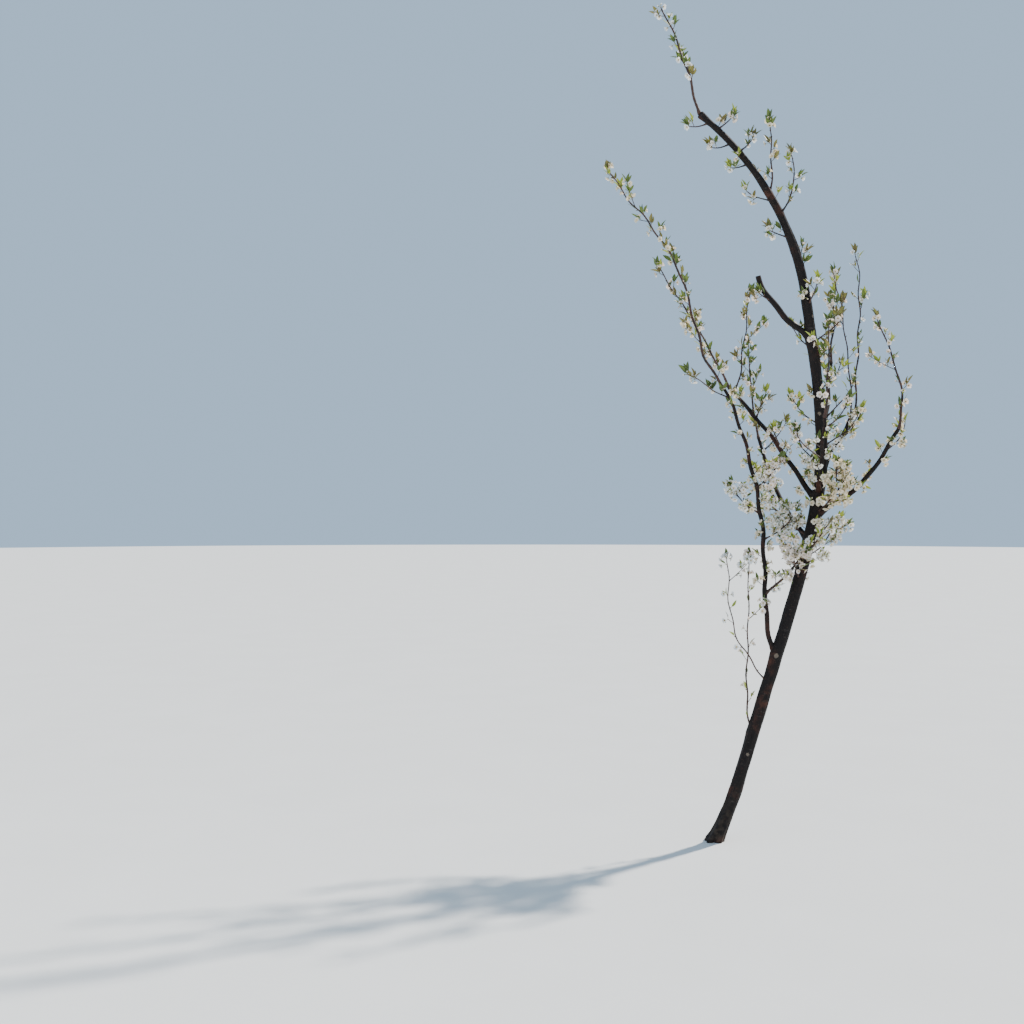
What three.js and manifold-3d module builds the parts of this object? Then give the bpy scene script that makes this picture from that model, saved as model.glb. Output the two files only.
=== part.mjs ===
// A young orchard cherry tree in white blossom, as it stands in spring.
// One leaning, bowed trunk carries a headed leader with a thin whip on it, a sawn stub, a few
// steep boughs, and long shoots set with short clusters of blossom and the first small leaves.
// Every limb and every spray of blossom is its own closed solid. Millimetres, +Z up, the origin
// in the middle of the flat cut at ground level. +X is to the right and +Y points away from
// somebody who looks at the tree from the side that it is described from.
import * as THREE from "three";
import { mergeVertices } from "three/addons/utils/BufferGeometryUtils.js";
import Module from "manifold-3d";

const wasm = await Module();
wasm.setup();

// Driving dimensions, in millimetres and degrees
const GAP = 0.3;
const TRUNK_REACH = 4144;
const FOOT_RADIUS = 36;
const ROOT_FLARE = { swell: 13, height: 75, lobes: 5, depth: 0.13 };
const KNOB = { swell: 6, length: 45 };
const COLLAR = { swell: 0.42, length: 26 };
const BELOW_CUT = 80;
const CROOK = { angle: 5, wave: 230 };
const SPUR_SPACING = 100;
const SPUR_TURN = 144;
const BLOSSOM = { width: 44, notch: 0.6, cup: 8, depth: 5, stalk: 2, corners: 3 };
const PEDICEL_LENGTH = 26;
const LEAF = { length: 42, width: 16, thickness: 2.8 };
const SIDE_TWIG = { share: 0.22, least: 60, most: 130, radius: 2.2 };
const LONG_SHOOT = 430;
const LEAVING_ANGLE = { long: 48, short: 62 };
const SPREAD = { pair: 52, single: 12, leaf: 66, tuft: 26 };
const LIFT = { blossom: 0.15, leaf: 0.3 };
const TIP_SUNK = 3;
const ROOM = 150;
const BOUGH_STEP = 62;
const BOUGH_SIDES = 7;
const STEM_STEP = 105;
const STEM_SIDES = 3;
const BALL_SPACING = 12;
const CLEARANCE = 5;

// A limb's rise is its angle above level at even stations from its foot to its tip: under 90 it
// leans the way of its azimuth, over 90 the other way. Azimuth 0 is +X and 90 is +Y. Side is its
// lean across that plane, and radius is given at even stations too. Height is how high above
// ground it leaves its bearer, or "tip".
const TRUNK = {
  name: "trunk",
  azimuth: 0,
  rise: [65, 73, 73, 72, 75, 79, 93, 99, 100, 116, 130, 144],
  side: [0, 0, 2, 2, 0, 0, -3, -5, -7, -8, -8, -8],
  reach: TRUNK_REACH,
  radius: [FOOT_RADIUS, 33.5, 33.5, 33.5, 33, 32, 31, 29.5, 26.5, 22.5, 17.5, 14.5],
  sides: 12,
  rings: 40,
};

function bough(name, height, azimuth, rise, reach, radius) {
  const rings = Math.round(reach / BOUGH_STEP);
  return { name, on: "trunk", height, azimuth, rise, reach, radius, sides: BOUGH_SIDES, rings };
}

const BOUGHS = [
  bough("cut_stub", 2685, 184, [41, 40, 53, 69], 456, [17, 14.5]),
  bough("bough_left_low", 990, 196, [68, 89, 87, 78, 72, 63], 1481, [13.5, 12, 10.5, 8]),
  bough("bough_left_high", 1830, 162, [52, 58, 50, 50], 790, [14.5, 12, 9]),
  bough("bough_right_high", 1960, 24, [62, 54, 53], 430, [13, 10]),
  bough("bough_right_low", 1740, -22, [30, 36, 58, 60], 650, [15, 12.5, 9.5]),
  bough("bough_back_left", 1610, 118, [38, 48, 62, 66], 720, [14, 11.5, 8.5]),
  bough("bough_back_right", 2080, 68, [40, 52, 64, 68], 640, [13, 10.5, 8]),
  bough("bough_front", 1860, 262, [36, 44, 58, 62], 520, [13, 10.5, 8]),
];

// Sprays that each have their own place: the whip on the headed leader, the long shoots, the two
// thin water shoots near the foot and the upright shoots on the leader. Spurs is how thickly the
// clusters of blossom sit on the shoot, 1 being the usual.
function shoot(name, on, height, azimuth, rise, reach, radius, spurs) {
  return { name, on, height, azimuth, rise, reach, radius, spurs };
}

const SHOOTS = [
  shoot("leader_whip", "trunk", "tip", 180, [78, 73, 69, 62], 594, [7.5, 3.5], 1.1),
  shoot("leader_shoot_1", "trunk", 3440, 12, [74, 96, 88], 385, [5, 2.6], 1.1),
  shoot("leader_shoot_2", "trunk", 3340, -14, [40, 84, 100], 330, [4.5, 2.6], 1.2),
  shoot("shoot_left_long", "bough_left_low", "tip", 188, [46, 73, 75, 57, 47, 58], 1340, [7.5, 5.5, 3], 1),
  shoot("shoot_left_short", "bough_left_high", "tip", 168, [66, 61, 58, 58], 780, [6.5, 3], 1),
  shoot("shoot_left_upright", "bough_left_high", 2415, 20, [74, 82, 82, 84], 570, [4.5, 2.6], 1),
  shoot("shoot_left_side", "bough_left_low", 2370, 186, [28, 32, 24], 260, [3.6, 2.4], 1),
  shoot("shoot_right_tall", "bough_right_high", "tip", 10, [90, 86, 89, 98], 866, [5.5, 2.6], 0.5),
  shoot("shoot_right_thin", "bough_right_high", 2275, 165, [91, 84, 83, 73], 808, [4.5, 2.4], 0.5),
  shoot("shoot_right_bend", "bough_right_low", "tip", -12, [70, 99, 110, 110], 608, [7, 3], 0.9),
  shoot("shoot_right_leafy", "trunk", 2670, 8, [22, 48, 84], 290, [4.2, 2.6], 1.2),
  shoot("shoot_left_cross", "bough_left_low", 1322, -16, [42, 50, 52], 500, [7.5, 3], 1.1),
  shoot("water_shoot_1", "trunk", 570, 176, [79, 92, 91, 89], 964, [5, 2.6], 0.4),
  shoot("water_shoot_2", "trunk", 850, 206, [46, 54, 84, 90], 750, [4.2, 2.4], 0.4),
  shoot("shoot_back_left", "bough_back_left", "tip", 110, [68, 80, 86], 560, [6.5, 2.8], 0.9),
  shoot("shoot_back_right", "bough_back_right", "tip", 60, [70, 78, 84], 520, [6.5, 2.8], 0.9),
  shoot("shoot_front", "bough_front", "tip", 268, [66, 80, 86], 480, [6.5, 2.8], 0.9),
];

// Spur sprays that follow one another up a bearer between two heights. Each leaves it a fixed
// turn round from the one below, and their reach shortens from the first to the last.
function row(name, on, heights, count, azimuth, turn, rise, reaches) {
  return Array.from({ length: count }, (_, i) => {
    const share = count > 1 ? i / (count - 1) : 0;
    const height = THREE.MathUtils.lerp(heights[0], heights[1], share);
    const reach = THREE.MathUtils.lerp(reaches[0], reaches[1], share);
    const rises = [rise, rise + 12, rise + 30];
    return shoot(`${name}_${i + 1}`, on, height, azimuth + turn * i, rises, reach, [4, 2.4], 1.15);
  });
}

const SPUR_SPRAYS = [
  row("spray_trunk", "trunk", [1400, 2230], 8, 250, 137.5, 28, [330, 250]),
  row("spray_trunk_upper", "trunk", [2420, 3080], 4, 10, 137.5, 34, [190, 140]),
  row("spray_leader_low", "trunk", [3215, 3400], 2, 188, 12, 4, [120, 165]),
  row("spray_leader_left", "trunk", [3590, 3795], 3, 190, -10, -24, [95, 108]),
  row("spray_leader_right", "trunk", [3650, 3760], 2, -6, 14, 26, [100, 118]),
  row("spray_stub", "cut_stub", [2890, 2890], 1, 200, 0, 12, [85, 85]),
  row("spray_left_low", "bough_left_low", [1615, 1900], 3, 350, 165, 30, [250, 190]),
  row("spray_left_high", "bough_left_high", [2030, 2275], 2, 195, 205, 46, [200, 170]),
  row("spray_right_low", "bough_right_low", [1830, 2080], 2, 250, 137.5, 34, [260, 220]),
  row("spray_right_high", "bough_right_high", [2150, 2150], 1, -40, 0, 36, [210, 210]),
  row("spray_back_left", "bough_back_left", [1820, 2110], 2, 190, 150, 36, [240, 200]),
  row("spray_back_right", "bough_back_right", [2290, 2540], 2, 330, 150, 36, [230, 190]),
  row("spray_front", "bough_front", [2040, 2190], 2, 180, 150, 36, [220, 190]),
];

const UP = new THREE.Vector3(0, 0, 1);
const ACROSS = new THREE.Vector3(1, 0, 0);
const Y_AXIS = new THREE.Vector3(0, 1, 0);
const radians = THREE.MathUtils.degToRad;

// A repeatable number from 0 to 1: draw number n of a limb's own seed
function draw(seed, n) {
  const value = Math.sin(seed * 12.9898 + n * 78.233) * 43758.5453;
  return value - Math.floor(value);
}

// The value of a list of even stations at a share, from 0 to 1, of the way along it
function between(stations, share) {
  const last = stations.length - 1;
  const place = THREE.MathUtils.clamp(share, 0, 1) * last;
  const low = Math.min(Math.floor(place), last - 1);
  return THREE.MathUtils.lerp(stations[low], stations[low + 1], place - low);
}

// The way a limb grows at a share of its length, with a slight crook from bud to bud
function heading(limb, share) {
  const crook = limb.crook * Math.sin((share * limb.reach * 2 * Math.PI) / CROOK.wave + limb.seed);
  const rise = radians(between(limb.rise, share) + crook);
  const lean = Math.tan(radians(between(limb.side, share) + crook));
  const turn = radians(limb.azimuth);
  return new THREE.Vector3(
    Math.cos(rise) * Math.cos(turn) - lean * Math.sin(turn),
    Math.cos(rise) * Math.sin(turn) + lean * Math.cos(turn),
    Math.sin(rise),
  ).normalize();
}

// The stations of a limb: its axis walked in even steps, with two directions square to it that
// turn no more than the axis does
function walk(limb, foot) {
  const step = limb.reach / limb.rings;
  const point = foot.clone();
  let across = null;
  limb.stations = [];
  for (let ring = 0; ring <= limb.rings; ring += 1) {
    const along = heading(limb, ring / limb.rings);
    const before = across ?? (Math.abs(along.z) < 0.9 ? UP : ACROSS);
    across = before.clone().addScaledVector(along, -before.dot(along)).normalize();
    const aside = across.clone().cross(along);
    const radius = between(limb.radius, ring / limb.rings);
    limb.stations.push({ point: point.clone(), along, across, aside, radius });
    point.addScaledVector(heading(limb, (ring + 0.5) / limb.rings), step);
  }
  return limb;
}

// The place on a limb's axis at a height above ground, or at its tip
function seatOn(limb, height) {
  const last = limb.stations.at(-1);
  if (height === "tip") {
    return { point: last.point.clone().addScaledVector(last.along, -TIP_SUNK), radius: last.radius };
  }
  const above = limb.stations.findIndex((station) => station.point.z >= height);
  const high = limb.stations[above];
  const low = limb.stations[above - 1];
  const share = (height - low.point.z) / (high.point.z - low.point.z);
  return {
    point: low.point.clone().lerp(high.point, share),
    radius: THREE.MathUtils.lerp(low.radius, high.radius, share),
  };
}

// A closed three.js geometry made a solid: vertices that share a place become one, and faces
// that this shrinks to a line are dropped
function solidOf(geometry) {
  geometry.deleteAttribute("normal");
  geometry.deleteAttribute("uv");
  const merged = mergeVertices(geometry, 1e-3);
  const corners = merged.index.array;
  const kept = [];
  for (let i = 0; i < corners.length; i += 3) {
    const [a, b, c] = corners.subarray(i, i + 3);
    if (a !== b && b !== c && c !== a) kept.push(a, b, c);
  }
  return new wasm.Manifold(
    new wasm.Mesh({
      numProp: 3,
      vertProperties: merged.getAttribute("position").array,
      triVerts: new Uint32Array(kept),
    }),
  );
}

// How far the bark stands from the axis, in a direction round it and a distance along it
function barkRadius(limb, station, ring, round) {
  const walked = (ring / limb.rings) * limb.reach;
  let radius = station.radius;
  if (limb.name === "trunk") {
    const flare = Math.exp(-Math.max(0, station.point.z) / ROOT_FLARE.height);
    const lobe = 1 + ROOT_FLARE.depth * flare * Math.cos(ROOT_FLARE.lobes * round + 0.6);
    const fromTip = (limb.reach - walked) / KNOB.length;
    radius = (radius + ROOT_FLARE.swell * flare) * lobe + KNOB.swell * Math.exp(-fromTip * fromTip);
  } else if (limb.collar) {
    const clear = Math.max(0, walked - limb.bearerRadius) / COLLAR.length;
    radius *= 1 + COLLAR.swell * Math.exp(-clear * clear);
  }
  return radius;
}

// A limb's solid: a cylinder whose rings are carried along the limb's axis, each at its own
// radius. Grown by a gap all over, the same solid cuts what is set on the limb.
function limbSolid(limb, grown = 0) {
  const tube = new THREE.CylinderGeometry(1, 1, 1, limb.sides, limb.rings);
  const spots = tube.getAttribute("position");
  for (let i = 0; i < spots.count; i += 1) {
    const ring = Math.round((spots.getY(i) + 0.5) * limb.rings);
    const station = limb.stations[ring];
    const round = Math.atan2(spots.getZ(i), spots.getX(i));
    const out = Math.hypot(spots.getX(i), spots.getZ(i));
    const reach = out * (barkRadius(limb, station, ring, round) + grown);
    const spot = station.point
      .clone()
      .addScaledVector(station.across, reach * Math.cos(round))
      .addScaledVector(station.aside, reach * Math.sin(round));
    if (ring === 0) spot.addScaledVector(station.along, -grown);
    if (ring === limb.rings) spot.addScaledVector(station.along, grown);
    spots.setXYZ(i, spot.x, spot.y, spot.z);
  }
  return solidOf(tube);
}

// A straight three-sided twig from one point to another
function twigSolid(from, to, radius) {
  const along = to.clone().sub(from);
  const prism = new THREE.CylinderGeometry(radius * 0.75, radius, along.length(), 3, 1);
  prism.translate(0, along.length() / 2, 0);
  prism.applyQuaternion(new THREE.Quaternion().setFromUnitVectors(Y_AXIS, along.normalize()));
  prism.translate(from.x, from.y, from.z);
  return solidOf(prism);
}

// A blossom on its stalk, turned on a lathe from the foot of the stalk outwards: the rim of the
// shallow cup is drawn in between its five petals, and the thin stalk is three-sided
function blossomSolid(root, facing, length) {
  const profile = [
    new THREE.Vector2(0, 0),
    new THREE.Vector2(BLOSSOM.stalk, 0),
    new THREE.Vector2(BLOSSOM.stalk * 0.8, length - BLOSSOM.depth),
    new THREE.Vector2(BLOSSOM.width / 2, length + BLOSSOM.cup),
    new THREE.Vector2(0, length),
  ];
  const cup = new THREE.LatheGeometry(profile, 10);
  const spots = cup.getAttribute("position");
  for (let i = 0; i < spots.count; i += 1) {
    const out = Math.hypot(spots.getX(i), spots.getZ(i));
    const round = Math.atan2(spots.getZ(i), spots.getX(i)) / (2 * Math.PI);
    const onStalk = out < BLOSSOM.stalk + 1;
    const corner = Math.round(round * BLOSSOM.corners) / BLOSSOM.corners;
    const petal = Math.round(round * 10 + 10) % 2 === 0;
    const turn = (onStalk ? corner : round) * 2 * Math.PI;
    const reach = onStalk || petal ? out : out * BLOSSOM.notch;
    spots.setXYZ(i, reach * Math.cos(turn), spots.getY(i), reach * Math.sin(turn));
  }
  cup.applyQuaternion(new THREE.Quaternion().setFromUnitVectors(Y_AXIS, facing));
  cup.translate(root.x, root.y, root.z);
  return solidOf(cup);
}

// A young leaf: a slim eight-faced lozenge from its root outwards
function leafSolid(root, facing, length) {
  const leaf = new THREE.OctahedronGeometry(1, 0);
  leaf.scale(LEAF.width / 2, length / 2, LEAF.thickness / 2);
  leaf.translate(0, length * 0.42, 0);
  leaf.applyQuaternion(new THREE.Quaternion().setFromUnitVectors(Y_AXIS, facing));
  leaf.translate(root.x, root.y, root.z);
  return solidOf(leaf);
}

// The space that is taken so far, as balls that each belong to a limb or a spray. A spray's
// blossom and leaves may touch its own twigs, but not one another.
const taken = [];

function ball(centre, radius, owner, wooden = false) {
  return { sphere: new THREE.Sphere(centre.clone(), radius), owner, wooden };
}

function claimLimb(limb) {
  for (let ring = 0; ring < limb.rings; ring += 1) {
    const low = limb.stations[ring];
    const high = limb.stations[ring + 1];
    const steps = Math.ceil(low.point.distanceTo(high.point) / BALL_SPACING);
    for (let i = 0; i < steps; i += 1) {
      const centre = low.point.clone().lerp(high.point, i / steps);
      taken.push(ball(centre, low.radius + CLEARANCE, limb.name, true));
    }
  }
}

// Whether some new balls keep inside their spray's own space and above ground, and touch nothing
function fits(balls, limb) {
  return balls.every(({ sphere, owner, wooden }) => {
    const near = limb.stations.some((station) => station.point.distanceTo(sphere.center) < ROOM);
    const free = taken.every(
      (other) =>
        (other.owner === owner && (other.wooden || wooden)) || !other.sphere.intersectsSphere(sphere),
    );
    return near && free && sphere.center.z > sphere.radius;
  });
}

// A direction that leaves an axis at an angle to it, turned round it
function leaving(along, turn, angle) {
  const side = Math.abs(along.z) < 0.9 ? UP : ACROSS;
  const across = side.clone().addScaledVector(along, -side.dot(along)).normalize();
  across.applyAxisAngle(along, radians(turn)).multiplyScalar(Math.sin(radians(angle)));
  return across.addScaledVector(along, Math.cos(radians(angle)));
}

// A cluster on a stem: one or two blossoms on their stalks, and one young leaf
function cluster(limb, root, facing, n, solids) {
  const blossoms = 1 + Math.round(draw(limb.seed, n));
  for (let i = 0; i < blossoms; i += 1) {
    const turn = 360 * draw(limb.seed, n + 1) + 180 * i;
    const way = leaving(facing, turn, blossoms > 1 ? SPREAD.pair : SPREAD.single);
    way.addScaledVector(UP, LIFT.blossom).normalize();
    const length = PEDICEL_LENGTH * (0.9 + 0.35 * draw(limb.seed, n + 2 + i));
    const space = [ball(root.clone().addScaledVector(way, length), BLOSSOM.width / 2, limb.name)];
    if (fits(space, limb)) {
      taken.push(...space);
      solids.push(blossomSolid(root, way, length));
    }
  }
  const turn = 360 * draw(limb.seed, n + 1) + 90;
  addLeaf(limb, root, leaving(facing, turn, SPREAD.leaf), n, solids);
}

// One leaf that grows from a stem, turned up a little towards the light
function addLeaf(limb, root, facing, n, solids) {
  const length = LEAF.length * (0.8 + 0.4 * draw(limb.seed, n + 7));
  const way = facing.clone().addScaledVector(UP, LIFT.leaf).normalize();
  const space = [ball(root.clone().addScaledVector(way, length * 0.6), length * 0.26, limb.name)];
  if (fits(space, limb)) {
    taken.push(...space);
    solids.push(leafSolid(root, way, length));
  }
}

// A tuft of leaves at the tip of a stem or side twig
function tuft(limb, root, along, n, solids) {
  for (let i = 0; i < 2; i += 1) {
    const turn = 180 * i + 360 * draw(limb.seed, n);
    addLeaf(limb, root, leaving(along, turn, SPREAD.tuft), n + i, solids);
  }
}

// A side twig of a long shoot: it ends in a cluster and has another half way along
function sideTwig(limb, root, way, n, solids) {
  const length = THREE.MathUtils.clamp(limb.reach * SIDE_TWIG.share, SIDE_TWIG.least, SIDE_TWIG.most);
  const tip = root.clone().addScaledVector(way, length);
  const balls = [0.3, 0.5, 0.7, 0.85, 1].map((share) =>
    ball(root.clone().lerp(tip, share), SIDE_TWIG.radius + CLEARANCE, limb.name, true),
  );
  if (!fits(balls, limb)) return;
  taken.push(...balls);
  solids.push(twigSolid(root.clone().addScaledVector(way, -1), tip, SIDE_TWIG.radius));
  cluster(limb, tip.clone().addScaledVector(way, -2), way, n + 10, solids);
  cluster(limb, root.clone().lerp(tip, 0.55), leaving(way, 90, 60), n + 20, solids);
}

// A spray grown from its one stem. Clusters follow one another up the stem, each two fifths of a
// turn round from the last, and on a long shoot every fourth place has a side twig.
function growSpray(limb) {
  const solids = [limbSolid(limb)];
  const clear = limb.bearerRadius + BLOSSOM.width / 2;
  const count = Math.max(1, Math.round(((limb.reach - clear) / SPUR_SPACING) * limb.spurs));
  for (let i = 0; i < count; i += 1) {
    const share = (clear + (limb.reach - clear) * ((i + 0.5) / count)) / limb.reach;
    const ring = Math.min(limb.rings - 1, Math.floor(share * limb.rings));
    const low = limb.stations[ring];
    const root = low.point.clone().lerp(limb.stations[ring + 1].point, share * limb.rings - ring);
    const angle = limb.reach > LONG_SHOOT ? LEAVING_ANGLE.long : LEAVING_ANGLE.short;
    const way = leaving(low.along, SPUR_TURN * i + limb.seed * 50, angle);
    if (limb.reach > LONG_SHOOT && i % 4 === 2 && share < 0.85) {
      sideTwig(limb, root, way, 40 * i, solids);
    } else {
      cluster(limb, root, way, 40 * i, solids);
    }
  }
  const end = limb.stations.at(-1);
  const tip = end.point.clone().addScaledVector(end.along, -TIP_SUNK);
  tuft(limb, tip, end.along, 7, solids);
  if (limb.reach <= LONG_SHOOT) cluster(limb, tip, end.along, 4000, solids);
  return wasm.Manifold.union(solids);
}

// The largest closed body of a solid, with no sealed hollow left in it
function mainBody(solid) {
  const bodies = solid.decompose();
  return bodies.reduce((best, body) => (body.volume() > best.volume() ? body : best));
}

// A spray's stem is three-sided, with a ring every step of its length
const SPRAYS = [...SHOOTS, ...SPUR_SPRAYS.flat()].map((spec) => ({
  ...spec,
  sides: STEM_SIDES,
  rings: Math.max(3, Math.round(spec.reach / STEM_STEP)),
}));

// Every limb is laid out on its bearer before anything is grown, so that all of them keep clear
const limbs = new Map();
for (const [index, spec] of [TRUNK, ...BOUGHS, ...SPRAYS].entries()) {
  const bearer = limbs.get(spec.on);
  const seat = bearer ? seatOn(bearer, spec.height) : null;
  const limb = {
    side: [0, 0],
    crook: bearer ? CROOK.angle : 0,
    ...spec,
    seed: index + 1,
    collar: BOUGHS.includes(spec),
    bearerRadius: seat ? seat.radius : 0,
  };
  walk(limb, seat ? seat.point : new THREE.Vector3());
  claimLimb(limb);
  limbs.set(limb.name, limb);
}

// The ground's flat cut: the trunk is drawn on below it and sawn off level
function trunkSolid() {
  const trunk = limbs.get("trunk");
  const first = trunk.stations[0];
  const below = { ...first, point: first.point.clone().addScaledVector(first.along, -BELOW_CUT) };
  const whole = { ...trunk, rings: trunk.rings + 1, stations: [below, ...trunk.stations] };
  const ground = new THREE.BoxGeometry(600, 600, 400);
  ground.translate(0, 0, -200);
  return limbSolid(whole).subtract(solidOf(ground));
}

const BARK_COLOURS = { trunk: 0x2a211d, bough: 0x33261f };
const BLOSSOM_COLOUR = 0xefeae0;

function nodeMesh(limb, solid, colour) {
  const mesh = solid.getMesh();
  const geometry = new THREE.BufferGeometry();
  geometry.setAttribute("position", new THREE.BufferAttribute(mesh.vertProperties, 3));
  geometry.setIndex(new THREE.BufferAttribute(mesh.triVerts, 1));
  geometry.computeVertexNormals();
  const material = new THREE.MeshStandardMaterial({ color: colour, roughness: 0.85, metalness: 0 });
  const node = new THREE.Mesh(geometry, material);
  node.name = limb.name;
  return node;
}

const group = new THREE.Group();
group.add(nodeMesh(limbs.get("trunk"), trunkSolid(), BARK_COLOURS.trunk));
for (const { name } of BOUGHS) {
  const limb = limbs.get(name);
  const solid = limbSolid(limb).subtract(limbSolid(limbs.get(limb.on), GAP));
  group.add(nodeMesh(limb, mainBody(solid), BARK_COLOURS.bough));
}
for (const { name } of SPRAYS) {
  const limb = limbs.get(name);
  const solid = growSpray(limb).subtract(limbSolid(limbs.get(limb.on), GAP));
  group.add(nodeMesh(limb, mainBody(solid), BLOSSOM_COLOUR));
}

export default group;
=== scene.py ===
# %% [markdown]
# # A young cherry tree in white blossom
#
# A leaning orchard tree, nearly four and a half metres tall, seen in the first days of its
# bloom. The limbs are few and dark. Everything light on the tree, petals, stamens and small
# new leaves, sits on short spurs along them. This notebook grows the tree from its limbs
# outwards: the limbs' axes, the bark, the twigs and spurs, then the blossom and the leaves,
# each with its finish.
#
# Lengths are millimetres until a mesh is made. +Z is up, and +X is to the viewer's right.

import bpy
import numpy as np
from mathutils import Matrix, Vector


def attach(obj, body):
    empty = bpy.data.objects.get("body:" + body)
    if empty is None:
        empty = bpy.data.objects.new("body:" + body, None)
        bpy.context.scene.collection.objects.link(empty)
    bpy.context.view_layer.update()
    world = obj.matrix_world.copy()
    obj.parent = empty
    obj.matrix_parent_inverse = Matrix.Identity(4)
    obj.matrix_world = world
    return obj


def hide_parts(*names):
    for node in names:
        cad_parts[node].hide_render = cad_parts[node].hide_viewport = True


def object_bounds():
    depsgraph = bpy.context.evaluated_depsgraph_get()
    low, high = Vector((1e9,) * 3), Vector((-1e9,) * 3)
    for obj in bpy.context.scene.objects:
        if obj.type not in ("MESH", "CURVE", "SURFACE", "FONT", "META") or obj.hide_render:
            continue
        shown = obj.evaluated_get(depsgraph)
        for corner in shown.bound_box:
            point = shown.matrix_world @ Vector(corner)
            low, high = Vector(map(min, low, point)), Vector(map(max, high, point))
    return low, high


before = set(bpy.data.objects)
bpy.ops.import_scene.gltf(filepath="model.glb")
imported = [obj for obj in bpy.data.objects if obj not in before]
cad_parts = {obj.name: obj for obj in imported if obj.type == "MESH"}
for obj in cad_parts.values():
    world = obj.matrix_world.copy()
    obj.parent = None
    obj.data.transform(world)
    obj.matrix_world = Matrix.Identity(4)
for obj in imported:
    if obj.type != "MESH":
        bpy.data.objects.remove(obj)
cad_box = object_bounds()
METRES = 0.001
LOWEST, HIGHEST = (np.array(corner) / METRES for corner in cad_box)
rng = np.random.default_rng(2417)
print("solids to dress:", len(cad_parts), "height in mm:", round(HIGHEST[2]))

# %% [markdown]
# ## The limbs' axes
#
# A limb on a real tree holds its angle for a while and then turns, so it can be described by
# how steeply it rises at a few even stations. The same driving dimensions are used as for the
# solids, which puts every twig here on the limb that carries it there. The other way would be
# to read points off the solids, but then the rule of growth would be lost.

# %% What a limb is
CROOK_ANGLE, CROOK_WAVE = 5, 230
TIP_SUNK = 3


class Limb:
    """A tapering limb. Rise is its angle above level at even stations, under 90 towards its
    azimuth; side is its lean across that plane. Height is where it leaves its bearer, or
    "tip". Spurs is how thickly clusters sit on it."""

    def __init__(self, name, on, height, azimuth, rise, reach, radius, spurs=1.0, side=(0, 0)):
        self.name, self.on, self.height, self.azimuth = name, on, height, azimuth
        self.rise, self.side, self.reach, self.radius = rise, side, reach, radius
        self.spurs = spurs
        self.crook = CROOK_ANGLE
        self.bearer_radius = 0.0


def at_stations(values, share):
    """Straight lines between a list of even stations, read at shares 0 to 1."""
    return np.interp(share, np.linspace(0, 1, len(values)), values)


def unit(vectors):
    """Each vector divided by its length."""
    return vectors / np.linalg.norm(vectors, axis=-1, keepdims=True)


print("a limb's crook is", CROOK_ANGLE, "degrees every", CROOK_WAVE, "mm")

# %% [markdown]
# ## The limbs of this tree
#
# One trunk bows to the right and back over its foot, and ends in a knob where it was headed.
# Seven boughs leave it, one at hip height and the others round head height, with one sawn stub
# above them. Long shoots carry them on, and rows of short sprays stand on trunk and boughs.

# %% The trunk and its boughs
trunk = Limb(
    "trunk", None, 0, 0, [65, 73, 73, 72, 75, 79, 93, 99, 100, 116, 130, 144], 4144,
    [36, 33.5, 33.5, 33.5, 33, 32, 31, 29.5, 26.5, 22.5, 17.5, 14.5],
    side=[0, 0, 2, 2, 0, 0, -3, -5, -7, -8, -8, -8],
)
trunk.crook = 0
trunk.rings = 40

boughs = [
    Limb("cut_stub", "trunk", 2685, 184, [41, 40, 53, 69], 456, [17, 14.5]),
    Limb("bough_left_low", "trunk", 990, 196, [68, 89, 87, 78, 72, 63], 1481, [13.5, 12, 10.5, 8]),
    Limb("bough_left_high", "trunk", 1830, 162, [52, 58, 50, 50], 790, [14.5, 12, 9]),
    Limb("bough_right_high", "trunk", 1960, 24, [62, 54, 53], 430, [13, 10]),
    Limb("bough_right_low", "trunk", 1740, -22, [30, 36, 58, 60], 650, [15, 12.5, 9.5]),
    Limb("bough_back_left", "trunk", 1610, 118, [38, 48, 62, 66], 720, [14, 11.5, 8.5]),
    Limb("bough_back_right", "trunk", 2080, 68, [40, 52, 64, 68], 640, [13, 10.5, 8]),
    Limb("bough_front", "trunk", 1860, 262, [36, 44, 58, 62], 520, [13, 10.5, 8]),
]
BOUGH_STEP = 62
for limb in boughs:
    limb.rings = round(limb.reach / BOUGH_STEP)
print("boughs:", ", ".join(limb.name for limb in boughs))

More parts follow.
